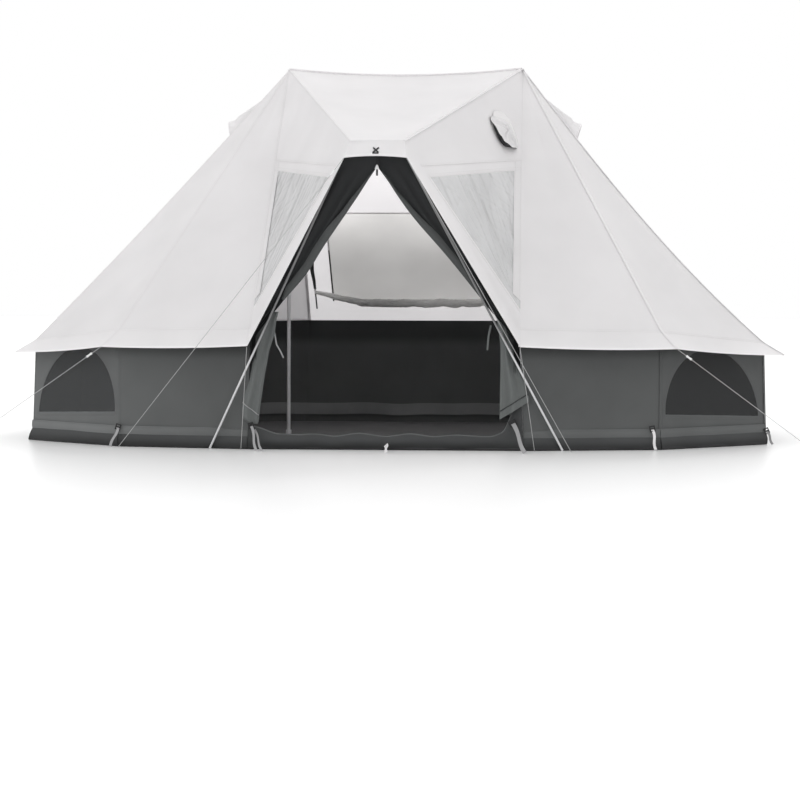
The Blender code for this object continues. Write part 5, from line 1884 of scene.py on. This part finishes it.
@dataclass
class Doorway(Assembly):
    """The tied-back door leaves, the sill and what holds them.

    Attributes:
        meet: Height where the leaves part.
        tie: Height of the ties.
        foot: Height where the hanging part of a leaf ends.
        tie_half: A free edge's distance from the middle at the tie.
        foot_half: Its distance from the middle lower down.
        top: Height of the leaves' top.
        turn: The share of a run in which an edge turns.
        behind_leg: How far a leaf hangs behind its door-frame leg.
        leg_tops: The tops of the left and right legs.
        leg_foot: The right leg's foot.
        pull_axis: The zip pull's turning axis.
        pull_head: The zip pull's outline: the drops below the axis and the half widths there.
        tab: The pull tab's half width, its drop below the axis and its length.
    """

    meet: float = 1.965
    tie: float = 0.99
    foot: float = 0.34
    tie_half: float = 0.737
    foot_half: float = 0.900
    top: float = 2.055
    turn: float = 0.30
    behind_leg: float = 0.030
    leg_tops: tuple[tuple[float, float, float], ...] = (
        (-0.21218, -2.27809, 2.13730),
        (0.11623, -2.23645, 2.13727),
    )
    leg_foot: tuple[float, float, float] = (1.237, -1.859, 0.00373)
    pull_axis: tuple[float, float, float] = (-0.03289, -2.08229, 1.979)
    pull_head: tuple[tuple[float, float], ...] = (
        (0.0, 0.003),
        (0.006, 0.007),
        (0.026, 0.015),
        (0.032, 0.013),
    )
    tab: tuple[float, float, float] = (0.0065, 0.030, 0.045)

    def build(self) -> None:
        """Makes both leaves, the sill and the zip."""
        for tag, name in SIDES:
            self._leaf(-1 if tag == "l" else 1, name)
        self._sill()
        self._zip()

    def _zip(self) -> None:
        """The door's zip above the leaves' parting, and its pull with a dark tab."""
        path = []
        for i in range(9):
            height = mix(self.meet - 0.004, self.top - 0.006, i / 8)
            path.append(Vector((self._lean(height), self._edges(1, height)[0].y - 0.0012, height)))
        self.tape("door_zip", path, (FORWARD, FORWARD), 0.016, Finish.BLACK, sewn=False)
        x, y, z = self.pull_axis
        settled = {"away_from": BEHIND_DOOR, "held": None, "body": "zip_pull"}
        rows = []
        for drop, half in self.pull_head:
            rows.append([Vector((x + half * k, y - 0.006, z - drop)) for k in (-1, 0, 1)])
        self.cloth("pull_head", Finish.PLASTIC, rows, thickness=0.004, nodes=["zip_pull"], **settled)
        half, drop, length = self.tab
        drops = [drop + length * i / 5 for i in range(6)]
        rows = [[Vector((x + half * k, y - 0.004, z - down)) for k in (-1, 0, 1)] for down in drops]
        self.cloth("pull_tab", Finish.BLACK, rows, thickness=0.003, **settled)

    def _leg(self, side: int, height: float) -> Vector:
        """A door-frame leg's centre at a height."""
        top = Vector(self.leg_tops[side > 0])
        across, depth, low = self.leg_foot
        share = (top.z - height) / (top.z - low)
        return mix(top, Vector((side * across, depth, low)), share) + BACKWARD * self.c.sizes.forward

    def _lean(self, height: float) -> float:
        """How far the doorway's middle line leans over at a height."""
        sizes = self.c.sizes
        rise = max(0.0, height - sizes.eave_door[2])
        return sizes.hood_shift * rise / (sizes.hood[2] - sizes.eave_door[2])

    def _edges(self, side: int, height: float) -> tuple[Vector, Vector]:
        """A leaf's outer and free edges at a height."""
        tag = "l" if side < 0 else "r"
        knee = self.c["knee0_" + tag + "f"]
        if height >= knee.z:
            outer = self._under_canopy(tag, self._leg(side, height).y + self.behind_leg, height)
        else:
            near = self._under_canopy(tag, self._leg(side, knee.z).y + self.behind_leg, knee.z)
            far = mix(self.c["base0_" + tag + "f"], knee, height / knee.z)
            far.x -= side * 0.003
            outer = mix(near, far, min(1.0, (knee.z - height) / (knee.z * self.turn)))
            outer.z = height
        if height >= self.meet:
            apart = 0.0005
        elif height >= self.tie:
            share = (self.meet - height) / (self.meet - self.tie)
            apart = max(0.0005, self.tie_half * share - self._slack(side, share))
        else:
            share = (self.tie - height) / (self.tie - self.foot)
            apart = mix(self.tie_half, self.foot_half, min(1.0, share / self.turn))
        return outer, Vector((self._lean(height) + side * apart, outer.y, height))

    @staticmethod
    def _slack(side: int, share: float) -> float:
        """How far a leaf's free edge bellies in towards the middle."""
        if side > 0:
            return 0.026 * math.exp(-(((share - 0.34) / 0.22) ** 2)) * smooth(share * 5)
        low = 0.024 * math.exp(-(((share - 0.76) / 0.15) ** 2))
        return (0.016 * math.sin(math.pi * share) + low) * smooth(share * 5)

    def _under_canopy(self, tag: str, depth: float, height: float) -> Vector:
        """A point just under the canopy beside the doorway."""
        hood = self.c["hood_" + tag]
        normal = self.c.door_out(tag)
        level = normal.y * (depth - hood.y) + normal.z * (height - hood.z)
        return Vector((hood.x - (0.0033 + level) / normal.x, depth, height))

    def _leaf(self, side: int, name: str) -> None:
        """One leaf in its folds, with its inner face's strip and its tied foot."""
        seed = 51.0 + side

        def spot(down: float, across: float) -> Vector:
            """A point of the leaf, in its folds."""
            height = mix(self.top, self.foot, down)
            point = mix(*self._edges(side, height), across)
            drop = smooth((self.top - height) / 0.3)
            below = smooth((self.tie + 0.1 - height) / 0.25)
            phase = wave(across * 1.3, height * 1.1, seed) * 0.30
            turn = math.tau * (3 + below) * (across + phase * across * (1 - across) * 2)
            edge = smooth(across * 8) * smooth((1 - across) * 10)
            deep = (0.016 + 0.010 * below) * (0.5 - 0.5 * math.cos(turn))
            deep += 0.004 + 0.004 * wave(across * 5, height * 2.2, seed + 3)
            point.y += deep * drop * edge
            return point

        rows = grid_rows(110, 72, spot)
        self.cloth(
            "leaf_cloth_" + name,
            Finish.DOOR,
            rows,
            away_from=BEHIND_DOOR,
            nodes=["door_leaf_" + name],
            held="gathered",
            rests_on=["frame_leg_" + name],
        )
        self._facing_strip(rows, side, name)
        self._bundle(BUNDLES[name], side, name)

    def _facing_strip(self, rows: Rows, side: int, name: str) -> None:
        """The turned-back strip at the free edge that shows the leaf's inner face."""
        strip = []
        for row in rows:
            height = row[0].z
            if not self.tie + 0.05 < height < self.meet - 0.02:
                continue
            grow = smooth((self.meet - height) / 0.5) * smooth((height - self.tie) / 0.15)
            wide = 0.004 + 0.055 * grow + 0.010 * wave(height * 7, 3.0, side)
            line = []
            for share in (k / 6 for k in range(7)):
                bulge = math.sin(math.pi * share) * 0.010
                aside = side * (wide * share - 0.001)
                line.append(row[-1] + Vector((aside, -0.0015 - bulge - 0.002 * share, 0.012 * share)))
            strip.append(line)
        settled = {"away_from": BEHIND_DOOR, "held": "gathered", "rests_on": ["door_leaf_" + name]}
        self.cloth("leaf_facing_" + name, Finish.DOOR_FACING, strip, thickness=0.001, **settled)

    def _bundle(self, bundle: Bundle, side: int, name: str) -> None:
        """The gathered foot of a leaf below its tie, with its hem and the hanging tie tape."""
        settled = {"thickness": 0.0012, "away_from": BEHIND_DOOR, "held": "gathered"}
        level = (FORWARD, FORWARD)
        rows = self._bundle_rows(bundle.outer, bundle.inner, bundle, 70, side)
        leaf = ["door_leaf_" + name]
        self.cloth("leaf_bundle_" + name, Finish.DOOR_INNER, rows, rests_on=leaf, **settled)
        self.tape("leaf_piping_" + name, rows[-1], level, 0.007, bundle.piping, lift=0.004, sewn=False)
        rows = self._bundle_rows(bundle.hem_outer, bundle.hem_inner, bundle, 14, side)
        self.cloth("leaf_hem_" + name, Finish.DOOR_INNER, rows, rests_on=["leaf_bundle_" + name], **settled)
        path = resampled([Vector((x, bundle.depth + self.c.sizes.forward, z)) for x, z in bundle.tie], 16)
        self.tape(
            "leaf_tie_" + name,
            path,
            level,
            bundle.tie_width,
            bundle.tie_finish,
            sewn=False,
            held="hung",
            rests_on=["leaf_cloth_" + name],
            flat=(bundle.tie_width * 1.15, length_of(path) * 1.05),
        )

    def _bundle_rows(
        self, outer: tuple, inner: tuple, bundle: Bundle, count: int, side: int
    ) -> list[list[Vector]]:
        """Rows of folds between two edges, each given as places across and up."""
        edges = [resampled([Vector((x, 0.0, z)) for x, z in edge], count) for edge in (outer, inner)]
        rows = []
        for a, b in zip(*edges):
            width = (b - a).length
            row = []
            for across in (i / 40 for i in range(41)):
                spot = mix(a, b, across)
                fold = math.cos(math.tau * bundle.folds * across + bundle.phase)
                swell = math.sin(math.pi * min(max(across, 0.02), 0.98)) ** 0.5
                depth = 0.25 * width + 0.11 * width * fold + 0.003 * wave(across * 4, spot.z * 5, side)
                spot.y = bundle.depth + self.c.sizes.forward - swell * depth
                row.append(spot)
            rows.append(row)
        return rows

    def _sill(self) -> None:
        """The strip across the doorway's foot, which rises at both ends and bellies out between."""
        foot, knee = self.c["base0_rf"], self.c["knee0_rf"]

        def spot(up: float, share: float) -> Vector:
            """A point of the sill."""
            out = abs(2 * share - 1)
            top = 0.104 + 0.058 * smooth((out - 0.76) / 0.20) + 0.150 * smooth((share - 0.925) / 0.06)
            edge = mix(foot, knee, top * up / knee.z)
            slack = 0.7 * wave(share * 11, up, 2.0) + 0.6 * wave(share * 4, 1, 5)
            belly = 0.016 * math.sin(math.pi * up) * (0.8 + slack) + 0.008 * math.sin(math.tau * up) * slack
            height = max(edge.z + 0.024 * slack * up, 0.0005)
            return Vector((mix(-edge.x, edge.x, share) * 0.9985, edge.y - belly - 0.001, height))

        rows = grid_rows(14, 160, spot)
        self.cloth("sill_cloth", Finish.MUD_FLAP, rows, nodes=["door_sill"])
        level = (FORWARD, FORWARD)
        self.tape("sill_binding", rows[-1], level, 0.009, Finish.WALL_HEM, sewn=False)
        # A black strip along the sill's foot: painted contact shadow.
        line = [p + UP * 0.011 for p in rows[0][::4]]
        self.tape("sill_foot", line, level, 0.016, Finish.BLACK, lift=0.004, sewn=False)


@dataclass(frozen=True)
class StrapPlace:
    """A webbing strap with a ladder buckle.

    Attributes:
        name: Its name.
        top: Where its buckle sits, from the ridge's middle.
        foot: Where it ends on the ground.
        width: Its width.
        finish: Its finish.
        buckle: Whether a buckle shows.
    """

    name: str
    top: tuple[float, float, float]
    foot: tuple[float, float, float]
    width: float = 0.020
    finish: Finish = Finish.STRAP
    buckle: bool = True


STRAPS = (
    StrapPlace("corner_left", (-1.917, -1.694, 0.140), (-1.962, -1.745, 0.006)),
    StrapPlace("door_left", (-0.936, -1.932, 0.168), (-0.880, -2.080, 0.006)),
    StrapPlace("door_left_tail", (-0.912, -1.930, 0.140), (-0.835, -2.130, 0.006), 0.016, buckle=False),
    StrapPlace("sill_middle", (0.010, -1.950, 0.040), (0.040, -2.270, 0.006), 0.034, Finish.BAND, False),
    StrapPlace("door_right", (0.893, -1.928, 0.196), (0.985, -2.190, 0.006), 0.030),
    StrapPlace("corner_right", (1.862, -1.712, 0.150), (1.888, -1.745, 0.006), 0.020, Finish.BAND),
    StrapPlace("end_right", (2.700, -0.950, 0.100), (2.742, -1.010, 0.006), 0.018),
)


@dataclass
class Straps(Assembly):
    """The peg straps along the foot, with their ladder buckles.

    Attributes:
        buckle_half: Half height of a buckle.
        buckle_share: Its half width as a share of the strap's width.
        bar: Half width of its bars.
    """

    buckle_half: float = 0.018
    buckle_share: float = 0.8
    bar: float = 0.004

    def build(self) -> None:
        """Makes every strap."""
        for place in STRAPS:
            self._strap(place)

    def _strap(self, place: StrapPlace) -> None:
        """One strap, hanging from its buckle to the ground."""
        top, foot = [Vector(p) + BACKWARD * self.c.sizes.forward for p in (place.top, place.foot)]
        across = (foot - top).cross(FORWARD).normalized()
        path, rows = [], []
        for share in (i / 24 for i in range(25)):
            drift = Vector((0.006 * math.sin(share * 6), -0.010 * math.sin(math.pi * share), 0.0))
            spot = mix(top, foot, share) + drift
            turn = 0.5 * math.sin(share * 3.0)
            side = (across * math.cos(turn) + BACKWARD * math.sin(turn)) * (place.width / 2)
            path.append(spot)
            rows.append([spot + side * (k / 2 - 1) for k in range(5)])
        for row in rows:
            for spot in row:
                spot.z = max(spot.z, 0.002)
        self.cloth(
            "peg_strap_" + place.name,
            place.finish,
            rows,
            away_from=BEHIND_DOOR,
            held="hung",
            rests_on=["groundsheet"],
            flat=(place.width * 1.1, length_of(path) * 1.05),
        )
        if place.buckle:
            self._buckle(place, top, across)

    def _buckle(self, place: StrapPlace, top: Vector, across: Vector) -> None:
        """A ladder buckle: a frame with a bar across its middle."""
        up = across.cross(BACKWARD).normalized()
        if up.z < 0:
            up = -up
        wide, high, bar = place.width * self.buckle_share, self.buckle_half, self.bar
        bars = [(up * (high * step), wide, bar) for step in (1, 0, -1)]
        bars += [(across * (wide * step), bar, high + bar) for step in (1, -1)]
        bm = bmesh.new()
        for shift, half_wide, half_high in bars:
            for vertex in bmesh.ops.create_cube(bm, size=1.0)["verts"]:
                x, y, z = vertex.co
                spot = top + shift + across * (x * half_wide * 2) + up * (z * half_high * 2)
                vertex.co = spot + BACKWARD * (y * 0.005 - 0.004)
        mesh = bpy.data.meshes.new("buckle_" + place.name)
        bm.to_mesh(mesh)
        bm.free()
        thing = link(bpy.data.objects.new("buckle_" + place.name, mesh))
        thing.data.materials.append(self.workshop.shop.get(Finish.BLACK))
        self.settle(thing, Finish.BLACK, held=None)


@dataclass
class Toggle(Assembly):
    """The crossed toggle on the visor.

    Attributes:
        place: How far down the visor it sits.
        reach: Half length of its crossed straps.
        width: Their width.
    """

    place: float = 0.60
    reach: float = 0.020
    width: float = 0.011

    def build(self) -> None:
        """Makes the toggle's crossed straps and the bar under them."""
        crest = (self.c["crest_l"] + self.c["crest_r"]) / 2
        hood = (self.c["hood_l"] + self.c["hood_r"]) / 2
        out = self.c.visor_out()
        down = (hood - crest).normalized()
        centre = mix(crest, hood, self.place) + out * 0.018 - ACROSS * 0.003
        aside, below = ACROSS * self.reach, down * self.reach
        low, half = down * 0.023, ACROSS * 0.021
        for name, a, b in (
            ("toggle_cross_a", -aside - below, aside + below),
            ("toggle_cross_b", aside - below, below - aside),
            ("toggle_bar", low - half, low + half),
        ):
            path = resampled([centre + a, centre + b], 6)
            self.tape(name, path, (out, out), self.width, Finish.BLACK, sewn=False)


@dataclass
class Ground(Assembly):
    """The groundsheet, creased on the ground.

    Attributes:
        margin: How far it stays inside the walls' feet.
    """

    margin: float = 0.008

    def build(self) -> None:
        """Makes the groundsheet."""
        order = [("r", "f", n) for n in "012"] + [("r", "b", n) for n in "210"]
        order += [("l", "b", n) for n in "012"] + [("l", "f", n) for n in "210"]
        centre = BACKWARD * self.c.sizes.forward
        feet = [self.c[f"base{n}_{tag}{end}"] for tag, end, n in order]
        outline = [foot - (foot - centre).normalized() * self.margin for foot in feet]
        loop = resampled(closed(outline), 241)[:-1]
        rows = [[mix(p, centre, r / 40) for p in loop] for r in range(41)]
        for row in rows:
            for p in row:
                p.z = 0.0035 + 0.0018 * wave(p.x * 2.2, p.y * 2.2, 0.0)
        settled = {"away_from": -UP * 5.0, "nodes": ["groundsheet"], "held": "laid"}
        self.cloth("ground_cloth", Finish.FLOOR, rows, loop=True, thickness=0.0012, **settled)


@dataclass(frozen=True)
class LineRoute:
    """A guyline's route, as the CAD source has it.

    Attributes:
        name: The CAD node.
        start: Where it leaves the tent.
        end: Where it meets the ground.
        runner: The runner on it, if any.
    """

    name: str
    start: tuple[float, float, float]
    end: tuple[float, float, float]
    runner: Optional[str] = None


ROUTES = (
    LineRoute("hood_line_left", (-0.2489, -2.2135, 2.0217), (-1.9, -1.665, 0.0026), "hood_runner_left"),
    LineRoute("hood_line_right", (0.1808, -2.2135, 2.0217), (1.3, -1.875, 0.0026)),
    LineRoute("eave_line_left", (-2.0345, -1.5994, 0.7096), (-2.936, -2.292, 0.0026), "eave_runner_left"),
    LineRoute("eave_line_right", (2.0346, -1.5993, 0.7096), (2.99, -2.141, 0.0026), "eave_runner_right"),
    LineRoute("tie_line_left", (-0.9483, -1.9525, 0.7200), (-1.005, -1.82, 0.0026)),
    LineRoute("tie_line_right", (0.9483, -1.9525, 0.7200), (1.045, -1.82, 0.0026)),
)


@dataclass
class Guylines(Assembly):
    """The taut guylines; their runners are the CAD pieces.

    Attributes:
        diameter: The cord's diameter.
    """

    diameter: float = 0.004

    def build(self) -> None:
        """Makes every line."""
        for route in ROUTES:
            self._line(route)

    def _line(self, route: LineRoute) -> None:
        """One line, with the runner on it."""
        start, end = Vector(route.start), Vector(route.end)
        curve = bpy.data.curves.new(route.name + "_rope", "CURVE")
        curve.dimensions = "3D"
        curve.bevel_depth = self.diameter / 2
        curve.bevel_resolution = 3
        curve.use_fill_caps = True
        spline = curve.splines.new("POLY")
        spline.points.add(23)
        for i, point in enumerate(spline.points):
            point.co = (*mix(start, end, i / 23), 1.0)
        rope = link(bpy.data.objects.new(route.name + "_rope", curve))
        rope.data.materials.append(self.workshop.shop.get(Finish.CORD))
        self.settle(rope, Finish.CORD, [route.name], held=None)


KEPT_LOOKS = {
    "steel": Finish.STEEL,
    "plastic": Finish.PLASTIC,
    "heat_patch": Finish.HEAT,
    "cord": Finish.CORD,
}


@dataclass
class Hardware(Assembly):
    """Finishes for the CAD pieces that stay: poles, legs, runners and patch."""

    def build(self) -> None:
        """Gives each visible CAD node its better material."""
        frame = self.workshop.frame
        slots = {s["node"]: s["material_slot"] for s in frame["record"]["subparts"]}
        for name, node in frame["nodes"].items():
            finish = KEPT_LOOKS.get(slots.get(name, ""))
            if name.startswith("pole_"):
                finish = Finish.POLE
            if finish is not None and not node.hide_render:
                for slot in node.material_slots:
                    slot.material = self.workshop.shop.get(finish)


# Repeated things


class StitchRows:
    """Rows of stitches, made by one node group from every gathered seam line."""

    PITCH = 0.009
    THREAD = (0.006, 0.0011, 0.0009)
    LINES_TOGETHER = 40

    def __init__(self, shop: MaterialShop) -> None:
        """Makes the shared node group.

        Args:
            shop: Where materials come from.
        """
        self.shop = shop
        self.group = self._group()

    def _group(self) -> bpy.types.NodeTree:
        """Resamples each line and lays a short thread at every step."""
        group = bpy.data.node_groups.new("stitch_rows", "GeometryNodeTree")
        length, width, height = self.THREAD
        for name, way, kind, value in (
            ("Geometry", "INPUT", "Geometry", None),
            ("Pitch", "INPUT", "Float", self.PITCH),
            ("Stitch Length", "INPUT", "Float", length),
            ("Thread", "INPUT", "Material", self.shop.get(Finish.THREAD_PALE)),
            ("Geometry", "OUTPUT", "Geometry", None),
        ):
            socket = group.interface.new_socket(name, in_out=way, socket_type="NodeSocket" + kind)
            if value is not None:
                socket.default_value = value
        maker = NodeMaker(group)
        start = maker.add("NodeGroupInput").outputs
        curve = maker.add("GeometryNodeMeshToCurve", {"Mesh": start["Geometry"]}).outputs["Curve"]
        spacing = {"Curve": curve, "Length": start["Pitch"]}
        steps = maker.add("GeometryNodeResampleCurve", spacing, mode="LENGTH")
        size = maker.add("ShaderNodeCombineXYZ", {"X": start["Stitch Length"], "Y": width, "Z": height})
        cube = maker.add("GeometryNodeMeshCube", {"Size": size.outputs["Vector"]})
        tangent = maker.add("GeometryNodeInputTangent").outputs["Tangent"]
        align = maker.add("FunctionNodeAlignRotationToVector", {"Vector": tangent}, axis="X")
        lay = {
            "Points": steps.outputs["Curve"],
            "Instance": cube.outputs["Mesh"],
            "Rotation": align.outputs["Rotation"],
        }
        threads = maker.add("GeometryNodeInstanceOnPoints", lay).outputs["Instances"]
        real = maker.add("GeometryNodeRealizeInstances", {"Geometry": threads}).outputs["Geometry"]
        paint = maker.add("GeometryNodeSetMaterial", {"Geometry": real, "Material": start["Thread"]})
        maker.add("NodeGroupOutput", {"Geometry": paint.outputs["Geometry"]})
        return group

    def lay_all(self, seams: dict[Finish, list[list[Vector]]]) -> None:
        """Makes every gathered line's stitches.

        Args:
            seams: The lines, by thread.
        """
        for thread, paths in seams.items():
            for i in range(0, len(paths), self.LINES_TOGETHER):
                name = f"{thread.value}_{i // self.LINES_TOGETHER}"
                self.lay(name, paths[i : i + self.LINES_TOGETHER], thread)

    def lay(self, name: str, paths: Sequence[Sequence[Vector]], finish: Finish) -> bpy.types.Object:
        """Makes the stitches of several lines.

        Args:
            name: The object's name.
            paths: The lines.
            finish: The thread's finish.

        Returns:
            The stitches, as plain mesh.
        """
        points: list[Vector] = []
        edges: list[tuple[int, int]] = []
        for path in paths:
            first = len(points)
            points += path
            edges += [(i, i + 1) for i in range(first, len(points) - 1)]
        mesh = bpy.data.meshes.new(name)
        mesh.from_pydata([tuple(p) for p in points], edges, [])
        thing = link(bpy.data.objects.new(name, mesh))
        modifier = thing.modifiers.new("stitches", "NODES")
        modifier.node_group = self.group
        for item in self.group.interface.items_tree:
            if item.name == "Thread":
                modifier[item.identifier] = self.shop.get(finish)
        freeze(thing)
        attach(thing, BODY)
        finish.slot
        return thing


# The studio


LAMPS = (
    ("key", (-7.0, -6.0, 7.0), 50.0, 0.51),
    ("fill", (7.0, -4.0, 10.0), 50.0, 0.36),
    ("top", (0.0, -2.0, 10.0), 60.0, 0.10),
    ("rear", (1.0, 10.0, 4.5), 40.0, 2.2),
)


@dataclass
class Studio:
    """Floor, lights and camera.

    Attributes:
        forward: How far the model was moved back, in metres.
        azimuth: How far the camera is turned to the right, in degrees.
        distance: Its distance from the ridge's middle.
        eye_height: Its height.
        focal_pixels: Its focal length in pixels.
        centre: The picture's principal point, in pixels.
        pixels: The picture's width and height.
        roll: How far it is tilted, in degrees.
        floor_half: Half the floor's width.
    """

    forward: float
    azimuth: float = 4.171
    distance: float = 21.286
    eye_height: float = 1.2052
    focal_pixels: float = 2778.27
    centre: tuple[float, float] = (405.06, 277.55)
    pixels: int = 800
    roll: float = 0.13
    floor_half: float = 60.0

    def build(self) -> None:
        """Makes the studio."""
        self._floor()
        self._lights()
        self._camera()

    def _floor(self) -> None:
        """A wide pale floor."""
        mesh = bpy.data.meshes.new("studio_floor")
        half = self.floor_half
        corners = [(-half, -half, 0), (half, -half, 0), (half, half, 0), (-half, half, 0)]
        mesh.from_pydata(corners, [], [(0, 1, 2, 3)])
        floor = link(bpy.data.objects.new("studio_floor", mesh))
        material = bpy.data.materials.new("studio_pale")
        material.use_nodes = True
        shader = material.node_tree.nodes["Principled BSDF"]
        shader.inputs["Base Color"].default_value = (0.86, 0.86, 0.86, 1.0)
        shader.inputs["Roughness"].default_value = 0.32
        shader.inputs["Specular IOR Level"].default_value = 0.38
        floor.data.materials.append(material)

    def _lights(self) -> None:
        """A white sky with a broad soft sun from the upper left."""
        world = bpy.data.worlds.new("studio_sky")
        bpy.context.scene.world = world
        world.use_nodes = True
        sky = world.node_tree.nodes["Background"]
        sky.inputs["Color"].default_value = (1.0, 1.0, 1.0, 1.0)
        sky.inputs["Strength"].default_value = 1.0
        for name, place, angle, power in LAMPS:
            lamp = bpy.data.lights.new(name, "SUN")
            lamp.energy = power
            lamp.angle = math.radians(angle)
            thing = link(bpy.data.objects.new(name, lamp))
            thing.location = place
            thing.rotation_euler = (-Vector(place)).to_track_quat("-Z", "Y").to_euler()
            thing.visible_glossy = name != "rear"

    def _camera(self) -> None:
        """The photograph's long-lens view."""
        turn = math.radians(self.azimuth)
        back = Vector((math.sin(turn), -math.cos(turn), 0.0))
        eye = Vector((0.0, self.forward, self.eye_height)) + back * self.distance
        camera = bpy.data.cameras.new("photo_view")
        camera.sensor_width = 36.0
        camera.lens = self.focal_pixels / self.pixels * camera.sensor_width
        camera.shift_x = (self.pixels / 2 - self.centre[0]) / self.pixels
        camera.shift_y = (self.centre[1] - self.pixels / 2) / self.pixels
        camera.clip_end = 200.0
        thing = link(bpy.data.objects.new("photo_view", camera))
        turned = (-back).to_track_quat("-Z", "Y").to_matrix().to_4x4()
        tilt = Matrix.Rotation(math.radians(self.roll), 4, "Z")
        thing.matrix_world = Matrix.Translation(eye) @ turned @ tilt
        bpy.context.scene.camera = thing
        bpy.context.scene.view_settings.view_transform = "Standard"


PARTS: tuple[type[Assembly], ...] = (
    Guylines,
    Canopy,
    DoorSides,
    StoveJack,
    EndPanels,
    BackPanel,
    Walls,
    Doorway,
    Ground,
    Straps,
    Toggle,
    Hardware,
)


def main() -> None:
    """Builds the whole scene."""
    logging.basicConfig(level=logging.INFO)
    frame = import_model()
    sizes = TentSizes()
    workshop = Workshop(frame, Corners(sizes), MaterialShop())
    Studio(sizes.forward).build()
    for part in PARTS:
        first = len(workshop.pieces)
        part(workshop).build()
        LOG.info("%s: %s", part.__name__, ", ".join(workshop.pieces[first:]) or "materials only")
    StitchRows(workshop.shop).lay_all(workshop.stitches)


if __name__ == "__main__":
    main()
